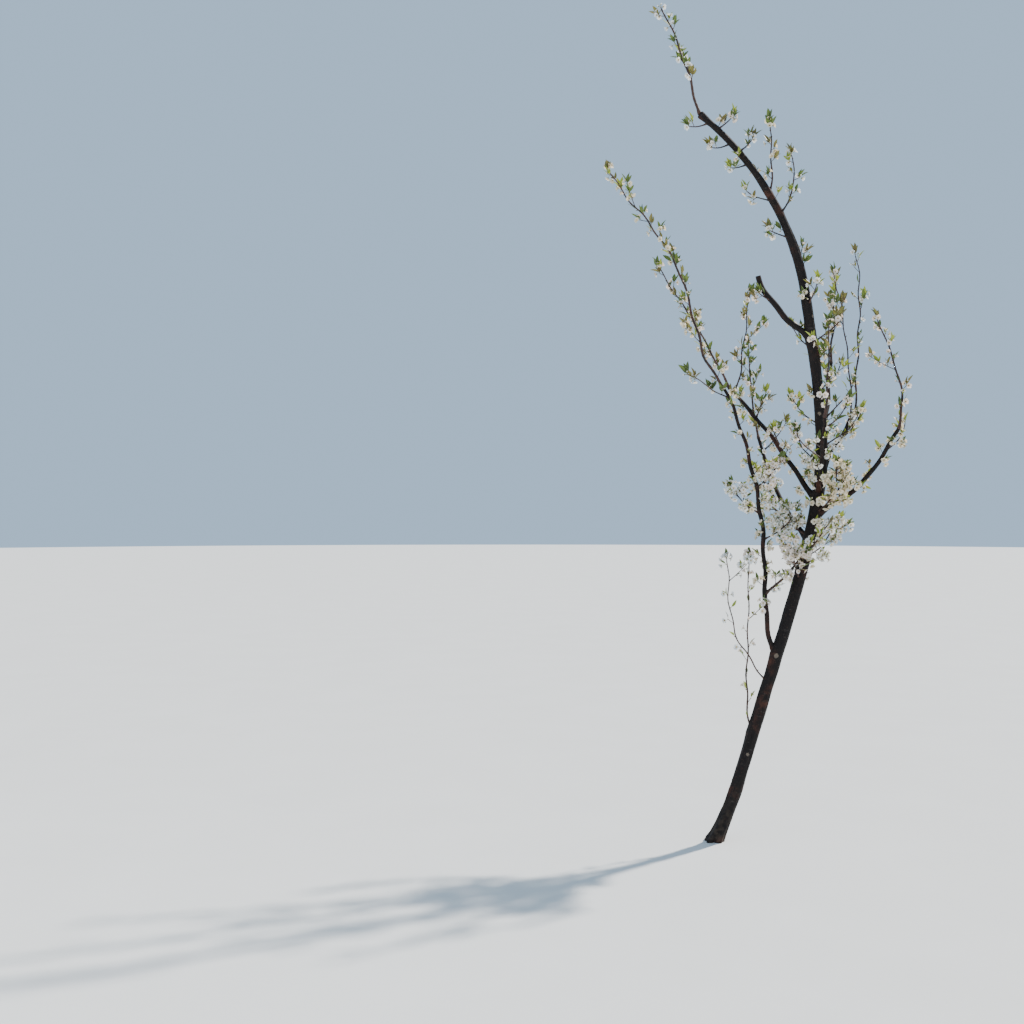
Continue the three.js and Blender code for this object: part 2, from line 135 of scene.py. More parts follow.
# %% The shoots that have a place of their own
shoots = [
    Limb("leader_whip", "trunk", "tip", 180, [78, 73, 69, 62], 594, [7.5, 3.5], 1.1),
    Limb("leader_shoot_1", "trunk", 3440, 12, [74, 96, 88], 385, [5, 2.6], 1.1),
    Limb("leader_shoot_2", "trunk", 3340, -14, [40, 84, 100], 330, [4.5, 2.6], 1.2),
    Limb("shoot_left_long", "bough_left_low", "tip", 188, [46, 73, 75, 57, 47, 58], 1340, [7.5, 5.5, 3]),
    Limb("shoot_left_short", "bough_left_high", "tip", 168, [66, 61, 58, 58], 780, [6.5, 3]),
    Limb("shoot_left_upright", "bough_left_high", 2415, 20, [74, 82, 82, 84], 570, [4.5, 2.6]),
    Limb("shoot_left_side", "bough_left_low", 2370, 186, [28, 32, 24], 260, [3.6, 2.4]),
    Limb("shoot_right_tall", "bough_right_high", "tip", 10, [90, 86, 89, 98], 866, [5.5, 2.6], 0.5),
    Limb("shoot_right_thin", "bough_right_high", 2275, 165, [91, 84, 83, 73], 808, [4.5, 2.4], 0.5),
    Limb("shoot_right_bend", "bough_right_low", "tip", -12, [70, 99, 110, 110], 608, [7, 3], 0.9),
    Limb("shoot_right_leafy", "trunk", 2670, 8, [22, 48, 84], 290, [4.2, 2.6], 1.2),
    Limb("shoot_left_cross", "bough_left_low", 1322, -16, [42, 50, 52], 500, [7.5, 3], 1.1),
    Limb("water_shoot_1", "trunk", 570, 176, [79, 92, 91, 89], 964, [5, 2.6], 0.4),
    Limb("water_shoot_2", "trunk", 850, 206, [46, 54, 84, 90], 750, [4.2, 2.4], 0.4),
    Limb("shoot_back_left", "bough_back_left", "tip", 110, [68, 80, 86], 560, [6.5, 2.8], 0.9),
    Limb("shoot_back_right", "bough_back_right", "tip", 60, [70, 78, 84], 520, [6.5, 2.8], 0.9),
    Limb("shoot_front", "bough_front", "tip", 268, [66, 80, 86], 480, [6.5, 2.8], 0.9),
]
print("shoots:", len(shoots), "longest in mm:", max(limb.reach for limb in shoots))

# %% The rows of spur sprays
SPRAY_BENDS, SPRAY_RADIUS, SPRAY_SPURS = (0, 12, 30), [4, 2.4], 1.15


def spray_row(name, on, heights, count, azimuth, turn, rise, reaches):
    """Sprays that follow one another up a bearer, each turned on from the one below."""
    return [
        Limb(
            f"{name}_{i + 1}", on, np.interp(share, (0, 1), heights), azimuth + turn * i,
            [rise + bend for bend in SPRAY_BENDS], np.interp(share, (0, 1), reaches),
            SPRAY_RADIUS, SPRAY_SPURS,
        )
        for i, share in enumerate(np.linspace(0, 1, count))
    ]


sprays = [
    *spray_row("spray_trunk", "trunk", (1400, 2230), 8, 250, 137.5, 28, (330, 250)),
    *spray_row("spray_trunk_upper", "trunk", (2420, 3080), 4, 10, 137.5, 34, (190, 140)),
    *spray_row("spray_leader_low", "trunk", (3215, 3400), 2, 188, 12, 4, (120, 165)),
    *spray_row("spray_leader_left", "trunk", (3590, 3795), 3, 190, -10, -24, (95, 108)),
    *spray_row("spray_leader_right", "trunk", (3650, 3760), 2, -6, 14, 26, (100, 118)),
    *spray_row("spray_stub", "cut_stub", (2890, 2890), 1, 200, 0, 12, (85, 85)),
    *spray_row("spray_left_low", "bough_left_low", (1615, 1900), 3, 350, 165, 30, (250, 190)),
    *spray_row("spray_left_high", "bough_left_high", (2030, 2275), 2, 195, 205, 46, (200, 170)),
    *spray_row("spray_right_low", "bough_right_low", (1830, 2080), 2, 250, 137.5, 34, (260, 220)),
    *spray_row("spray_right_high", "bough_right_high", (2150, 2150), 1, -40, 0, 36, (210, 210)),
    *spray_row("spray_back_left", "bough_back_left", (1820, 2110), 2, 190, 150, 36, (240, 200)),
    *spray_row("spray_back_right", "bough_back_right", (2290, 2540), 2, 330, 150, 36, (230, 190)),
    *spray_row("spray_front", "bough_front", (2040, 2190), 2, 180, 150, 36, (220, 190)),
]
STEM_STEP, FEWEST_RINGS = 105, 3
stems = shoots + sprays
for limb in stems:
    limb.rings = max(FEWEST_RINGS, round(limb.reach / STEM_STEP))
print("spur sprays:", len(sprays))

# %% Walking along a limb
UP = np.array([0, 0, 1.0])
ACROSS = np.array([1.0, 0, 0])
STEEP = 0.9


def headings(limb, share):
    """Unit vectors cos(rise) u + tan(side) v + sin(rise) z, with u along the azimuth and v
    across it, where rise and side both swing by the crook's sine from bud to bud."""
    wave = share * limb.reach * 2 * np.pi / CROOK_WAVE + limb.seed
    crook = limb.crook * np.sin(wave)
    rise = np.radians(at_stations(limb.rise, share) + crook)
    lean = np.tan(np.radians(at_stations(limb.side, share) + crook))
    turn = np.radians(limb.azimuth)
    ahead = np.cos(rise)
    east = ahead * np.cos(turn) - lean * np.sin(turn)
    north = ahead * np.sin(turn) + lean * np.cos(turn)
    return unit(np.stack([east, north, np.sin(rise)], axis=-1))


def square_to(along, near):
    """The part of near that is square to along, as a unit vector."""
    return unit(near - along * np.sum(near * along, axis=-1, keepdims=True))


def far_from(along):
    """A direction well away from along: up, or across where along rises steeply."""
    return np.where(np.abs(along[..., 2:3]) >= STEEP, ACROSS, UP)


def turned(start, aside, angle):
    """start cos(angle) + aside sin(angle), which turns start towards aside, in radians."""
    angle = np.asarray(angle)[..., None]
    return start * np.cos(angle) + aside * np.sin(angle)


def lay_out(limb, foot):
    """Stations P(i+1) = P(i) + step * heading halfway, from the foot on the bearer's axis, each
    with a direction across the axis that turns no more than the axis does."""
    shares = np.arange(limb.rings + 1) / limb.rings
    step = limb.reach / limb.rings
    moves = headings(limb, shares[:-1] + 0.5 / limb.rings) * step
    limb.points = foot + np.vstack([np.zeros(3), np.cumsum(moves, axis=0)])
    limb.along = headings(limb, shares)
    limb.radii = at_stations(limb.radius, shares)
    limb.across = np.empty_like(limb.points)
    near = far_from(limb.along[0])
    for i, along in enumerate(limb.along):
        near = limb.across[i] = square_to(along, near)


def seat_on(limb, height):
    """The place on a limb's axis at a height above ground, or just short of its tip."""
    if height == "tip":
        return limb.points[-1] - TIP_SUNK * limb.along[-1], limb.radii[-1]
    high = np.argmax(limb.points[:, 2] >= height)
    below, above = limb.points[high - 1], limb.points[high]
    share = (height - below[2]) / (above[2] - below[2])
    radius = limb.radii[high - 1] + share * (limb.radii[high] - limb.radii[high - 1])
    return below + share * (above - below), radius


limbs = {}
for seed, limb in enumerate([trunk, *boughs, *stems], 1):
    limb.seed = seed
    foot = np.zeros(3)
    if limb.on:
        foot, limb.bearer_radius = seat_on(limbs[limb.on], limb.height)
    lay_out(limb, foot)
    limbs[limb.name] = limb
print("limbs laid out:", len(limbs), "tip of the whip in mm:", limbs["leader_whip"].points[-1].round())


# %% A smooth axis through the stations
def axis_at(limb, walked):
    """Place, way, across, aside and radius at distances along a limb. Between stations i and
    i + 1 the place is the Hermite cubic through both, with the headings as its slopes."""
    step = limb.reach / limb.rings
    station = np.clip((walked / step).astype(int), 0, limb.rings - 1)
    t = (walked / step - station)[..., None]
    p0, p1 = limb.points[station], limb.points[station + 1]
    m0, m1 = limb.along[station] * step, limb.along[station + 1] * step
    place = (2 * t**3 - 3 * t**2 + 1) * p0 + (t**3 - 2 * t**2 + t) * m0
    place += (3 * t**2 - 2 * t**3) * p1 + (t**3 - t**2) * m1
    slope = 6 * (t**2 - t) * (p0 - p1) + (3 * t**2 - 4 * t + 1) * m0 + (3 * t**2 - 2 * t) * m1
    along = unit(slope)
    across = square_to(along, limb.across[station] * (1 - t) + limb.across[station + 1] * t)
    radius = at_stations(limb.radius, walked / limb.reach)
    return place, along, across, np.cross(along, across), radius


print("smooth axis ready, trunk tip at", axis_at(trunk, np.array([float(trunk.reach)]))[0].round())

# %% [markdown]
# ## Putting arrays into meshes
#
# Every piece below is worked out as arrays of points and of corner numbers. One function puts
# them into a mesh with foreach_set, which takes whole arrays and is far quicker than adding
# vertices one by one. Its material numbers and UV places are arrays too.

# %% From arrays to a mesh
pieces = []


def make_piece(name, points, faces, materials, replaced, shades=None, uv=None, smooth=True):
    """A mesh object from points in mm and a list of arrays of three- or four-cornered faces."""
    sizes = np.concatenate([np.full(len(part), part.shape[1]) for part in faces])
    corners = np.concatenate([part.ravel() for part in faces])
    mesh = bpy.data.meshes.new(name)
    mesh.vertices.add(len(points))
    mesh.vertices.foreach_set("co", (points * METRES).astype(np.float32).ravel())
    mesh.loops.add(len(corners))
    mesh.loops.foreach_set("vertex_index", corners.astype(np.int32))
    mesh.polygons.add(len(sizes))
    mesh.polygons.foreach_set("loop_start", (np.cumsum(sizes) - sizes).astype(np.int32))
    mesh.polygons.foreach_set("use_smooth", np.full(len(sizes), smooth))
    if shades is not None:
        mesh.polygons.foreach_set("material_index", shades.astype(np.int32))
    if uv is not None:
        layer = mesh.uv_layers.new(name="bark_lay")
        layer.data.foreach_set("uv", uv.astype(np.float32).ravel())
    mesh.update(calc_edges=True)
    mesh.validate()
    for material in materials:
        mesh.materials.append(material)
    thing = bpy.data.objects.new(name, mesh)
    bpy.context.scene.collection.objects.link(thing)
    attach(thing, "root")
    if replaced:
        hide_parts(*replaced)
    triangles = int(np.sum(sizes - 2))
    pieces.append((name, triangles))
    print(f"{name}: {len(points)} points, {triangles} triangles")


def ring_faces(rings, columns):
    """Corner numbers of a tube of rings * columns points, closed by a pole at each end. The
    poles are the last two points. Faces look away from the axis."""
    i, j = np.meshgrid(np.arange(rings - 1), np.arange(columns), indexing="ij")
    k = (j + 1) % columns
    wall = np.stack([i * columns + j, i * columns + k, (i + 1) * columns + k, (i + 1) * columns + j], -1)
    j = np.arange(columns)
    k = (j + 1) % columns
    start = np.full(columns, rings * columns)
    top = (rings - 1) * columns
    foot_fan = np.stack([start, k, j], -1)
    tip_fan = np.stack([start + 1, top + j, top + k], -1)
    return wall.reshape(-1, 4), np.concatenate([foot_fan, tip_fan])


def join_copies(parts):
    """Joins (points, faces) pairs, moving each one's corner numbers past those before it."""
    offset, points, faces = 0, [], []
    for part_points, part_faces in parts:
        points.append(part_points)
        faces += [face + offset for face in part_faces]
        offset += len(part_points)
    return np.concatenate(points), faces


def repeat_faces(faces, count, size):
    """The faces of one copy made into those of count copies, each of size points."""
    shift = np.arange(count)[:, None, None] * size
    return (faces + shift).reshape(-1, faces.shape[-1])


print("mesh helpers ready")

# %% [markdown]
# ## Shader maths in Python
#
# Bark is many patterns on top of one another, and each is a chain of small sums. Written as
# nodes one by one that is hard to read. So a socket is wrapped in a class with the usual
# operators, and a line such as `1 - cracks * 0.4` adds its own Math nodes.

# %% Sockets that can be added and multiplied
class Wire:
    """A socket of a shader tree that carries a number. Arithmetic on it adds Math nodes."""

    def __init__(self, finish, socket):
        self.finish, self.socket = finish, socket

    def sum_of(self, operation, *values):
        sockets = {i: value for i, value in enumerate(values)}
        return self.finish.node("ShaderNodeMath", {"operation": operation}, sockets)

    def __add__(self, other):
        return self.sum_of("ADD", self, other)

    def __sub__(self, other):
        return self.sum_of("SUBTRACT", self, other)

    def __rsub__(self, other):
        return self.sum_of("SUBTRACT", other, self)

    def __mul__(self, other):
        return self.sum_of("MULTIPLY", self, other)

    __radd__ = __add__

    def above(self, low, high):
        """0 where the number is under low, 1 where it is over high, smooth between."""
        sockets = {"Value": self, "From Min": low, "From Max": high}
        return self.finish.node("ShaderNodeMapRange", {"interpolation_type": "SMOOTHSTEP"}, sockets)


class Finish:
    """A material that is built up node by node."""

    def __init__(self, name):
        self.material = bpy.data.materials.new(name)
        self.material.use_nodes = True
        self.tree = self.material.node_tree
        self.tree.nodes.clear()

    def node(self, kind, settings=None, sockets=None, output=0):
        """Adds a node: its settings first, then the values or wires of its sockets."""
        made = self.tree.nodes.new(kind)
        for key, value in (settings or {}).items():
            setattr(made, key, value)
        for key, value in (sockets or {}).items():
            socket = made.inputs[key]
            if isinstance(value, Wire):
                self.tree.links.new(value.socket, socket)
            else:
                socket.default_value = value
        return Wire(self, made.outputs[output])

    def blend(self, factor, low, high):
        """A colour that goes from low to high as the factor goes from 0 to 1."""
        settings = {"data_type": "RGBA"}
        return self.node("ShaderNodeMix", settings, {0: factor, 6: colour(low), 7: colour(high)}, 2)

    def noise(self, place, scale, detail=3.0, roughness=0.55):
        sockets = {"Vector": place, "Scale": scale, "Detail": detail, "Roughness": roughness}
        return self.node("ShaderNodeTexNoise", {}, sockets)

    def stretched(self, place, factors):
        """A place with each of its directions multiplied, to draw a pattern out."""
        return self.node("ShaderNodeMapping", {"vector_type": "POINT"}, {"Vector": place, "Scale": factors})

    def bump(self, height, distance, strength):
        sockets = {"Height": height, "Distance": distance, "Strength": strength}
        return self.node("ShaderNodeBump", {}, sockets)

    def lit_through(self, share, surface, tint):
        """The surface with a share of light that comes through it from behind."""
        behind = self.node("ShaderNodeBsdfTranslucent", {}, {"Color": colour(tint)})
        return self.node("ShaderNodeMixShader", {}, {0: share, 1: surface, 2: behind})

    def end(self, shader):
        """Links the last shader to the output and gives the material back."""
        out = self.tree.nodes.new("ShaderNodeOutputMaterial")
        self.tree.links.new(shader.socket, out.inputs["Surface"])
        return self.material


def colour(value):
    """A wire as it is, or three numbers made a colour."""
    return value if isinstance(value, Wire) else (*value, 1.0)


print("shader helpers ready")

# %% [markdown]
# ## Bark
#
# Young cherry bark is dark, nearly black from a distance, and smooth between its marks. Here
# its near-black ground is partly its own colour and partly painted shade of bark lit from
# behind. Close to, it has red-brown patches, a thin grey skin that has come off in places, and
# lenticels: corky lips that lie across the limb. Low on the trunk the skin cracks along the
# limb, and the grooves of the cracks are coloured near black as painted shade. Pale tan flecks
# low on the trunk are a painted highlight of its sunlit foot. The marks follow the limb, so
# they are drawn on a UV map whose two directions are the distance round the limb and along
# it, in metres.

# %% Bark colours
# The black-brown ground is partly painted shade of bark lit from behind, the crack colour is painted shade
# in the grooves, and the pale tan is a painted highlight low on the trunk.
BLACK_BROWN_AND_SHADE = (0.010, 0.0072, 0.0064)
RED_BROWN = (0.066, 0.024, 0.015)
GREY_SKIN = (0.055, 0.045, 0.040)
RUST = (0.100, 0.054, 0.034)
PAINTED_FOOT_LIGHT = (0.120, 0.088, 0.062)
CRACK_SHADE = (0.010, 0.007, 0.006)


def bark_finish(name, redness, skin, cracks, foot_light_share):
    """Patches of red-brown on black-brown, whose near-black is partly painted shade, a thin grey
    skin come off in places, lenticels across, and cracks along whose grooves are coloured near
    black as painted shade. Low on the trunk, pale tan flecks are a painted highlight. Each
    share, from 0 to 1, says how much of that mark this bark has."""
    finish = Finish(name)
    place = finish.node("ShaderNodeTexCoord", output=3)
    lay = finish.node("ShaderNodeUVMap", {"uv_map": "bark_lay"})
    patches = finish.noise(place, 9.0, 4.0).above(0.62 - 0.22 * redness, 0.74)
    peel = finish.noise(finish.stretched(lay, (18.0, 60.0, 1.0)), 1.0, 5.0, 0.65)
    peeled = peel.above(0.60, 0.68) * finish.noise(place, 5.0).above(0.42, 0.58)
    grain = finish.noise(finish.stretched(lay, (420.0, 60.0, 1.0)), 1.0, 4.0, 0.6)
    cells = finish.node(
        "ShaderNodeTexVoronoi", {"feature": "F1"},
        {"Vector": finish.stretched(lay, (55.0, 150.0, 1.0)), "Scale": 1.0, "Randomness": 0.9},
    )
    lenticels = (1 - cells.above(0.10, 0.30)) * finish.noise(place, 26.0).above(0.40, 0.60)
    crack_relief_and_shade = 1 - finish.noise(finish.stretched(lay, (150.0, 26.0, 1.0)), 1.0, 6.0, 0.7).above(0.36, 0.46)
    # Painted highlight: pale tan flecks towards the foot of the trunk, for its sunlit edge.
    low = 1 - finish.node("ShaderNodeSeparateXYZ", {}, {"Vector": place}, 2).above(0.02, 0.34)
    painted_foot_light = low * finish.noise(place, 30.0, 5.0).above(0.40, 0.62) * foot_light_share
    # The black-brown ground is partly painted shade.
    tint = finish.blend(patches, BLACK_BROWN_AND_SHADE, RED_BROWN)
    tint = finish.blend(peeled * skin, tint, GREY_SKIN)
    tint = finish.blend(lenticels * 0.7, tint, RUST)
    # Painted shade: the grooves of the cracks coloured near black.
    tint = finish.blend(crack_relief_and_shade * cracks, tint, CRACK_SHADE)
    tint = finish.blend(painted_foot_light, tint, PAINTED_FOOT_LIGHT)
    height = lenticels * 0.5 + grain * 0.35 - crack_relief_and_shade * cracks + peeled * skin * 0.3
    shader = finish.node(
        "ShaderNodeBsdfPrincipled", {},
        {
            "Base Color": tint,
            "Roughness": 0.62 + grain * 0.22 + painted_foot_light * 0.12,
            "Normal": finish.bump(height, 0.0016, 0.9),
            "Specular IOR Level": 0.2,
        },
    )
    return finish.end(shader)


trunk_bark = bark_finish("trunk_bark", redness=0.45, skin=0.75, cracks=0.8, foot_light_share=0.25)
bough_bark = bark_finish("bough_bark", redness=0.70, skin=0.55, cracks=0.35, foot_light_share=0.0)
print("bark finishes:", trunk_bark.name, bough_bark.name)

# %% [markdown]
# ### Sawn wood
#
# Where a limb was sawn, the face shows rings round its middle, greyed by weather. The rings
# are circles of the UV map on that face, whose middle is at (0, 0).

# %% Sawn wood
SAWN_DARK, SAWN_PALE = (0.135, 0.100, 0.072), (0.200, 0.155, 0.112)
SAWN_STAIN = (0.060, 0.047, 0.038)


def sawn_finish():
    """Rings of paler and darker wood, dust-grey, and darker stains."""
    finish = Finish("sawn_wood")
    lay = finish.node("ShaderNodeUVMap", {"uv_map": "bark_lay"})
    settings = {"wave_type": "RINGS", "rings_direction": "SPHERICAL"}
    sockets = {"Vector": lay, "Scale": 160.0, "Distortion": 1.2, "Detail": 3.0}
    rings = finish.node("ShaderNodeTexWave", settings, sockets, 1)
    stain = finish.noise(lay, 260.0, 4.0)
    tint = finish.blend(rings * 0.6, SAWN_DARK, SAWN_PALE)
    tint = finish.blend(stain.above(0.45, 0.75) * 0.7, tint, SAWN_STAIN)
    sockets = {
        "Base Color": tint,
        "Roughness": 0.75 + stain * 0.2,
        "Normal": finish.bump(rings + stain, 0.0006, 0.7),
    }
    return finish.end(finish.node("ShaderNodeBsdfPrincipled", {}, sockets))


sawn_wood = sawn_finish()
print("finish:", sawn_wood.name)

# %% [markdown]
# ## The trunk and the boughs
#
# A limb's skin is a surface of two parameters, how far along the limb and how far round it.
# Its distance from the axis is the taper plus the relief: slow swellings, flutes that run up
# the limb, a swollen collar where each branch leaves, and the scars of branches pruned off.
# Displacing a finished mesh would do too, but the swellings have to sit exactly under the
# branches, and a formula of both parameters puts them there.

# %% The relief of bark
FLARE_SWELL, FLARE_HEIGHT, FLARE_LOBES, FLARE_DEPTH = 13, 75, 5, 0.13
KNOB_SWELL, KNOB_LENGTH = 6, 45
COLLAR_SWELL, COLLAR_LENGTH = 0.42, 26


def bell(distance, width):
    """A bell curve: 1 in the middle, and 0.37 where the distance is the width."""
    return np.exp(-((distance / width) ** 2))


def waves(walked, angle, seed, lengths, lobes, count):
    """A sum of count sines of the distance along and the angle round, whose wavelengths and
    lobes are drawn between two bounds, scaled to about -1 to 1. Whole lobes close round."""
    draws = np.random.default_rng(seed)
    total = np.zeros(np.broadcast(walked, angle).shape)
    for _ in range(count):
        length = draws.uniform(*lengths)
        round_the_limb = draws.integers(lobes[0], lobes[1] + 1) * draws.choice([-1, 1])
        total += np.sin(2 * np.pi * walked / length + round_the_limb * angle + draws.uniform(0, 6.3))
    return total / np.sqrt(count)


def round_distance(limb, walked, angle, spot_walked, spot_angle):
    """How far each point of the skin is, along and round it, from a spot on the skin."""
    girth = at_stations(limb.radius, spot_walked / limb.reach)
    turn = (angle - spot_angle + np.pi) % (2 * np.pi) - np.pi
    return walked - spot_walked, turn * girth


print("a limb's foot swells by", COLLAR_SWELL, "of its radius over", COLLAR_LENGTH, "mm")

# %% Mounds under branches
MOUND_HEIGHT, MOUND_WIDTH, MOUND_LENGTH, LEAST_LIFT = 0.45, 2.0, 3.0, 0.3
FINE_STEP = 6.0


def branch_swellings(limb, walked, angle):
    """A soft mound a little over each branch's seat. Its height, its width round the limb and
    its length along it are shares of the branch's radius."""
    mound = np.zeros(np.broadcast(walked, angle).shape)
    for child in limbs.values():
        if child.on != limb.name or child.height == "tip":
            continue
        seat = np.argmin(np.linalg.norm(limb.fine - child.points[0], axis=1))
        _, along, across, aside, _ = axis_at(limb, limb.fine_walked[seat : seat + 1])
        way, thick = child.along[0], child.radii[0]
        facing = np.arctan2(np.sum(way * aside), np.sum(way * across))
        lift = thick * max(LEAST_LIFT, np.sum(way * along))
        up, off = round_distance(limb, walked, angle, limb.fine_walked[seat] + lift, facing)
        lie = bell(up, MOUND_LENGTH * thick) * bell(off, MOUND_WIDTH * thick)
        mound += MOUND_HEIGHT * thick * lie
    return mound


for limb in limbs.values():
    limb.fine_walked = np.arange(0, limb.reach, FINE_STEP)
    limb.fine = axis_at(limb, limb.fine_walked)[0]
print("branches on the trunk:", sum(child.on == "trunk" for child in limbs.values()))

# %% Pruning scars
SCAR_STRETCH, BARE_SHARE = 1.15, 0.72
RIM_HEIGHT, RIM_WIDTH, HOLLOW_DEPTH, HOLLOW_WIDTH = 0.20, 0.38, 0.14, 0.6
SCARS = {
    "trunk": [
        (330, 2.6, 10), (498, -1.7, 11), (640, 0.5, 9), (1045, -1.85, 15), (1215, 2.4, 11),
        (2380, -2.0, 12), (2550, 1.2, 10), (2900, -0.9, 10), (3260, 2.8, 8),
    ],
    "bough_left_low": [(300, -1.0, 6), (870, 1.9, 5)],
    "bough_right_low": [(250, 0.4, 7)],
    "bough_left_high": [(330, -0.8, 6)],
}


def pruning_scars(limb, walked, angle):
    """Each scar is a raised rim of healed bark round a sunken disc: a bell curve of the
    distance from the rim, less a smaller one of the distance from the middle, both in shares
    of the disc's size. The second array says where the disc's bare wood shows."""
    rise = np.zeros(np.broadcast(walked, angle).shape)
    bare = np.zeros_like(rise)
    for spot_walked, spot_angle, size in SCARS.get(limb.name, ()):
        up, off = round_distance(limb, walked, angle, spot_walked, spot_angle)
        away = np.hypot(up / SCAR_STRETCH, off)
        rise += RIM_HEIGHT * size * bell(away - size, RIM_WIDTH * size)
        rise -= HOLLOW_DEPTH * size * bell(away, HOLLOW_WIDTH * size)
        bare = np.maximum(bare, away < BARE_SHARE * size)
    return rise, bare


print("scars:", sum(len(spots) for spots in SCARS.values()))

# %% The skin's distance from the axis
SLOW_WAVES = ((160, 420), (0, 2), 7)
FLUTE_WAVES = ((260, 900), (3, 8), 9)
FINE_WAVES = ((11, 40), (2, 14), 22)
PLATE_SEED, PLATE_WAVES = 91, ((45, 150), (4, 11), 16)
SLOW_HEIGHT, FLUTE_HEIGHT, FINE_HEIGHT, STOUT_RADIUS = 1.1, 0.75, 0.22, 30
ROUGH_HEIGHT, ROUGH_FLUTES, CRACK_DEPTH, CRACK_WIDTH = 420, 1.5, 2.2, 0.22
FLARE_TURN = 0.6


def skin_radius(limb, walked, angle, base):
    """The bark's distance from the axis, in mm, and where bare wood shows."""
    slow = waves(walked, angle, limb.seed, *SLOW_WAVES)
    flutes = waves(walked, angle, limb.seed + 100, *FLUTE_WAVES)
    fine = waves(walked, angle, limb.seed + 200, *FINE_WAVES)
    relief = base / STOUT_RADIUS * (SLOW_HEIGHT * slow + FLUTE_HEIGHT * flutes) + FINE_HEIGHT * fine
    if limb is trunk:
        height = axis_at(limb, walked)[0][..., 2]
        flare = np.exp(-np.maximum(height, 0) / FLARE_HEIGHT)
        lobes = 1 + FLARE_DEPTH * flare * np.cos(FLARE_LOBES * angle - FLARE_TURN)
        knob = KNOB_SWELL * bell(limb.reach - walked, KNOB_LENGTH)
        radius = (base + FLARE_SWELL * flare) * lobes + knob
        rough = np.exp(-np.maximum(walked, 0) / ROUGH_HEIGHT)
        plates = np.abs(waves(walked, angle, PLATE_SEED, *PLATE_WAVES))
        relief = relief + rough * (ROUGH_FLUTES * flutes - CRACK_DEPTH * bell(plates, CRACK_WIDTH))
    else:
        clear = np.maximum(0, walked - limb.bearer_radius)
        radius = base * (1 + COLLAR_SWELL * bell(clear, COLLAR_LENGTH))
    scars, bare = pruning_scars(limb, walked, angle)
    return radius + relief + branch_swellings(limb, walked, angle) + scars, bare


print("the trunk's foot flares by", FLARE_SWELL, "mm, its knob by", KNOB_SWELL, "mm")

# %% [markdown]
# ### Ends of limbs
#
# The headed trunk has healed to a round knob, and the stub was sawn square. A round end is
# made by rings that shrink as a quarter of a circle does while they close up on the tip. A
# sawn end has a short chamfer of torn bark and then rings that shrink on the flat.

# %% Rows of a limb's skin
SAWN_ROWS = [[2.4, 1], [1.0, 0.985], [0.2, 0.94], [0, 0.9], [0, 0.6], [0, 0.3]]
ROUND_ROWS, ROUND_LENGTH, SUNK_SHARE = 6, 0.8, 0.5
LEVEL_HEIGHT, LEVEL_ROUNDS = 160, 8


def end_rows(limb, sawn):
    """Distances back from the tip and the share of the radius that each last ring keeps."""
    if sawn:
        return np.array(SAWN_ROWS)
    turn = np.linspace(0, np.pi / 2, ROUND_ROWS, endpoint=False)
    length = ROUND_LENGTH * limb.radii[-1]
    return np.stack([length * (1 - np.sin(turn)), np.cos(turn)], -1)


def skin_limb(limb, spacing, columns, sawn=False):
    """The skin's points P = axis(s) + r(s, a) (across cos a + aside sin a), with its faces, its
    UV places and a 1 for each face of bare wood."""
    ending = end_rows(limb, sawn)
    start = SUNK_SHARE * limb.bearer_radius
    rows = np.arange(start, limb.reach - ending[0, 0] - spacing / 2, spacing)
    walked = np.concatenate([rows, limb.reach - ending[:, 0]])[:, None]
    shrink = np.concatenate([np.ones(len(rows)), ending[:, 1]])[:, None]
    angle = np.linspace(0, 2 * np.pi, columns, endpoint=False)[None, :]
    walked = walked + 0 * angle
    if limb is trunk:
        walked = level_foot(limb, walked, angle)
    place, _, across, aside, base = axis_at(limb, walked)
    radius, bare = skin_radius(limb, walked, angle, base)
    points = place + (radius * shrink)[..., None] * turned(across, aside, angle)
    if limb is trunk:
        points[0, :, 2] = 0
    rings = len(walked)
    poles = np.stack([points[0].mean(axis=0), points[-1].mean(axis=0)])
    wall, fans = ring_faces(rings, columns)
    lay = skin_lay(limb, walked, rings, columns)
    face_bare = bare[:-1].ravel().astype(int)
    if sawn:
        lay, face_bare = sawn_lay(limb, points, lay, face_bare, rings, columns)
    shades = np.concatenate([face_bare, np.zeros(columns, int), np.full(columns, int(sawn))])
    return np.concatenate([points.reshape(-1, 3), poles]), [wall, fans], lay, shades


def level_foot(limb, walked, angle):
    """Slides the rings near the foot along the axis, so that the first lies level on the
    ground although the axis leans, and they are square to it again at a height above it."""
    slide = np.zeros(angle.shape[1])
    for _ in range(LEVEL_ROUNDS):
        place, along, across, aside, base = axis_at(limb, slide)
        radius, _ = skin_radius(limb, slide[None, :], angle, base[None, :])
        height = place[:, 2] + radius[0] * turned(across, aside, angle[0])[:, 2]
        slide = slide - height / along[:, 2]
    return walked + slide * np.clip(1 - walked / LEVEL_HEIGHT, 0, 1)


def skin_lay(limb, walked, rings, columns):
    """UV places in metres: round the limb at its middle girth, and along it."""
    girth = float(np.mean(limb.radius)) * METRES
    step = 2 * np.pi / columns
    i, j = np.meshgrid(np.arange(rings - 1), np.arange(columns), indexing="ij")
    up = walked * METRES
    k = (j + 1) % columns
    lay = np.empty((rings - 1, columns, 4, 2))
    lay[..., 0] = np.stack([j, j + 1, j + 1, j], -1) * step * girth
    lay[..., 1] = np.stack([up[i, j], up[i, k], up[i + 1, k], up[i + 1, j]], -1)
    fans = np.zeros((2, columns, 3, 2))
    fans[1, :, :, 1] = limb.reach * METRES
    return np.concatenate([lay.reshape(-1, 2), fans.reshape(-1, 2)])


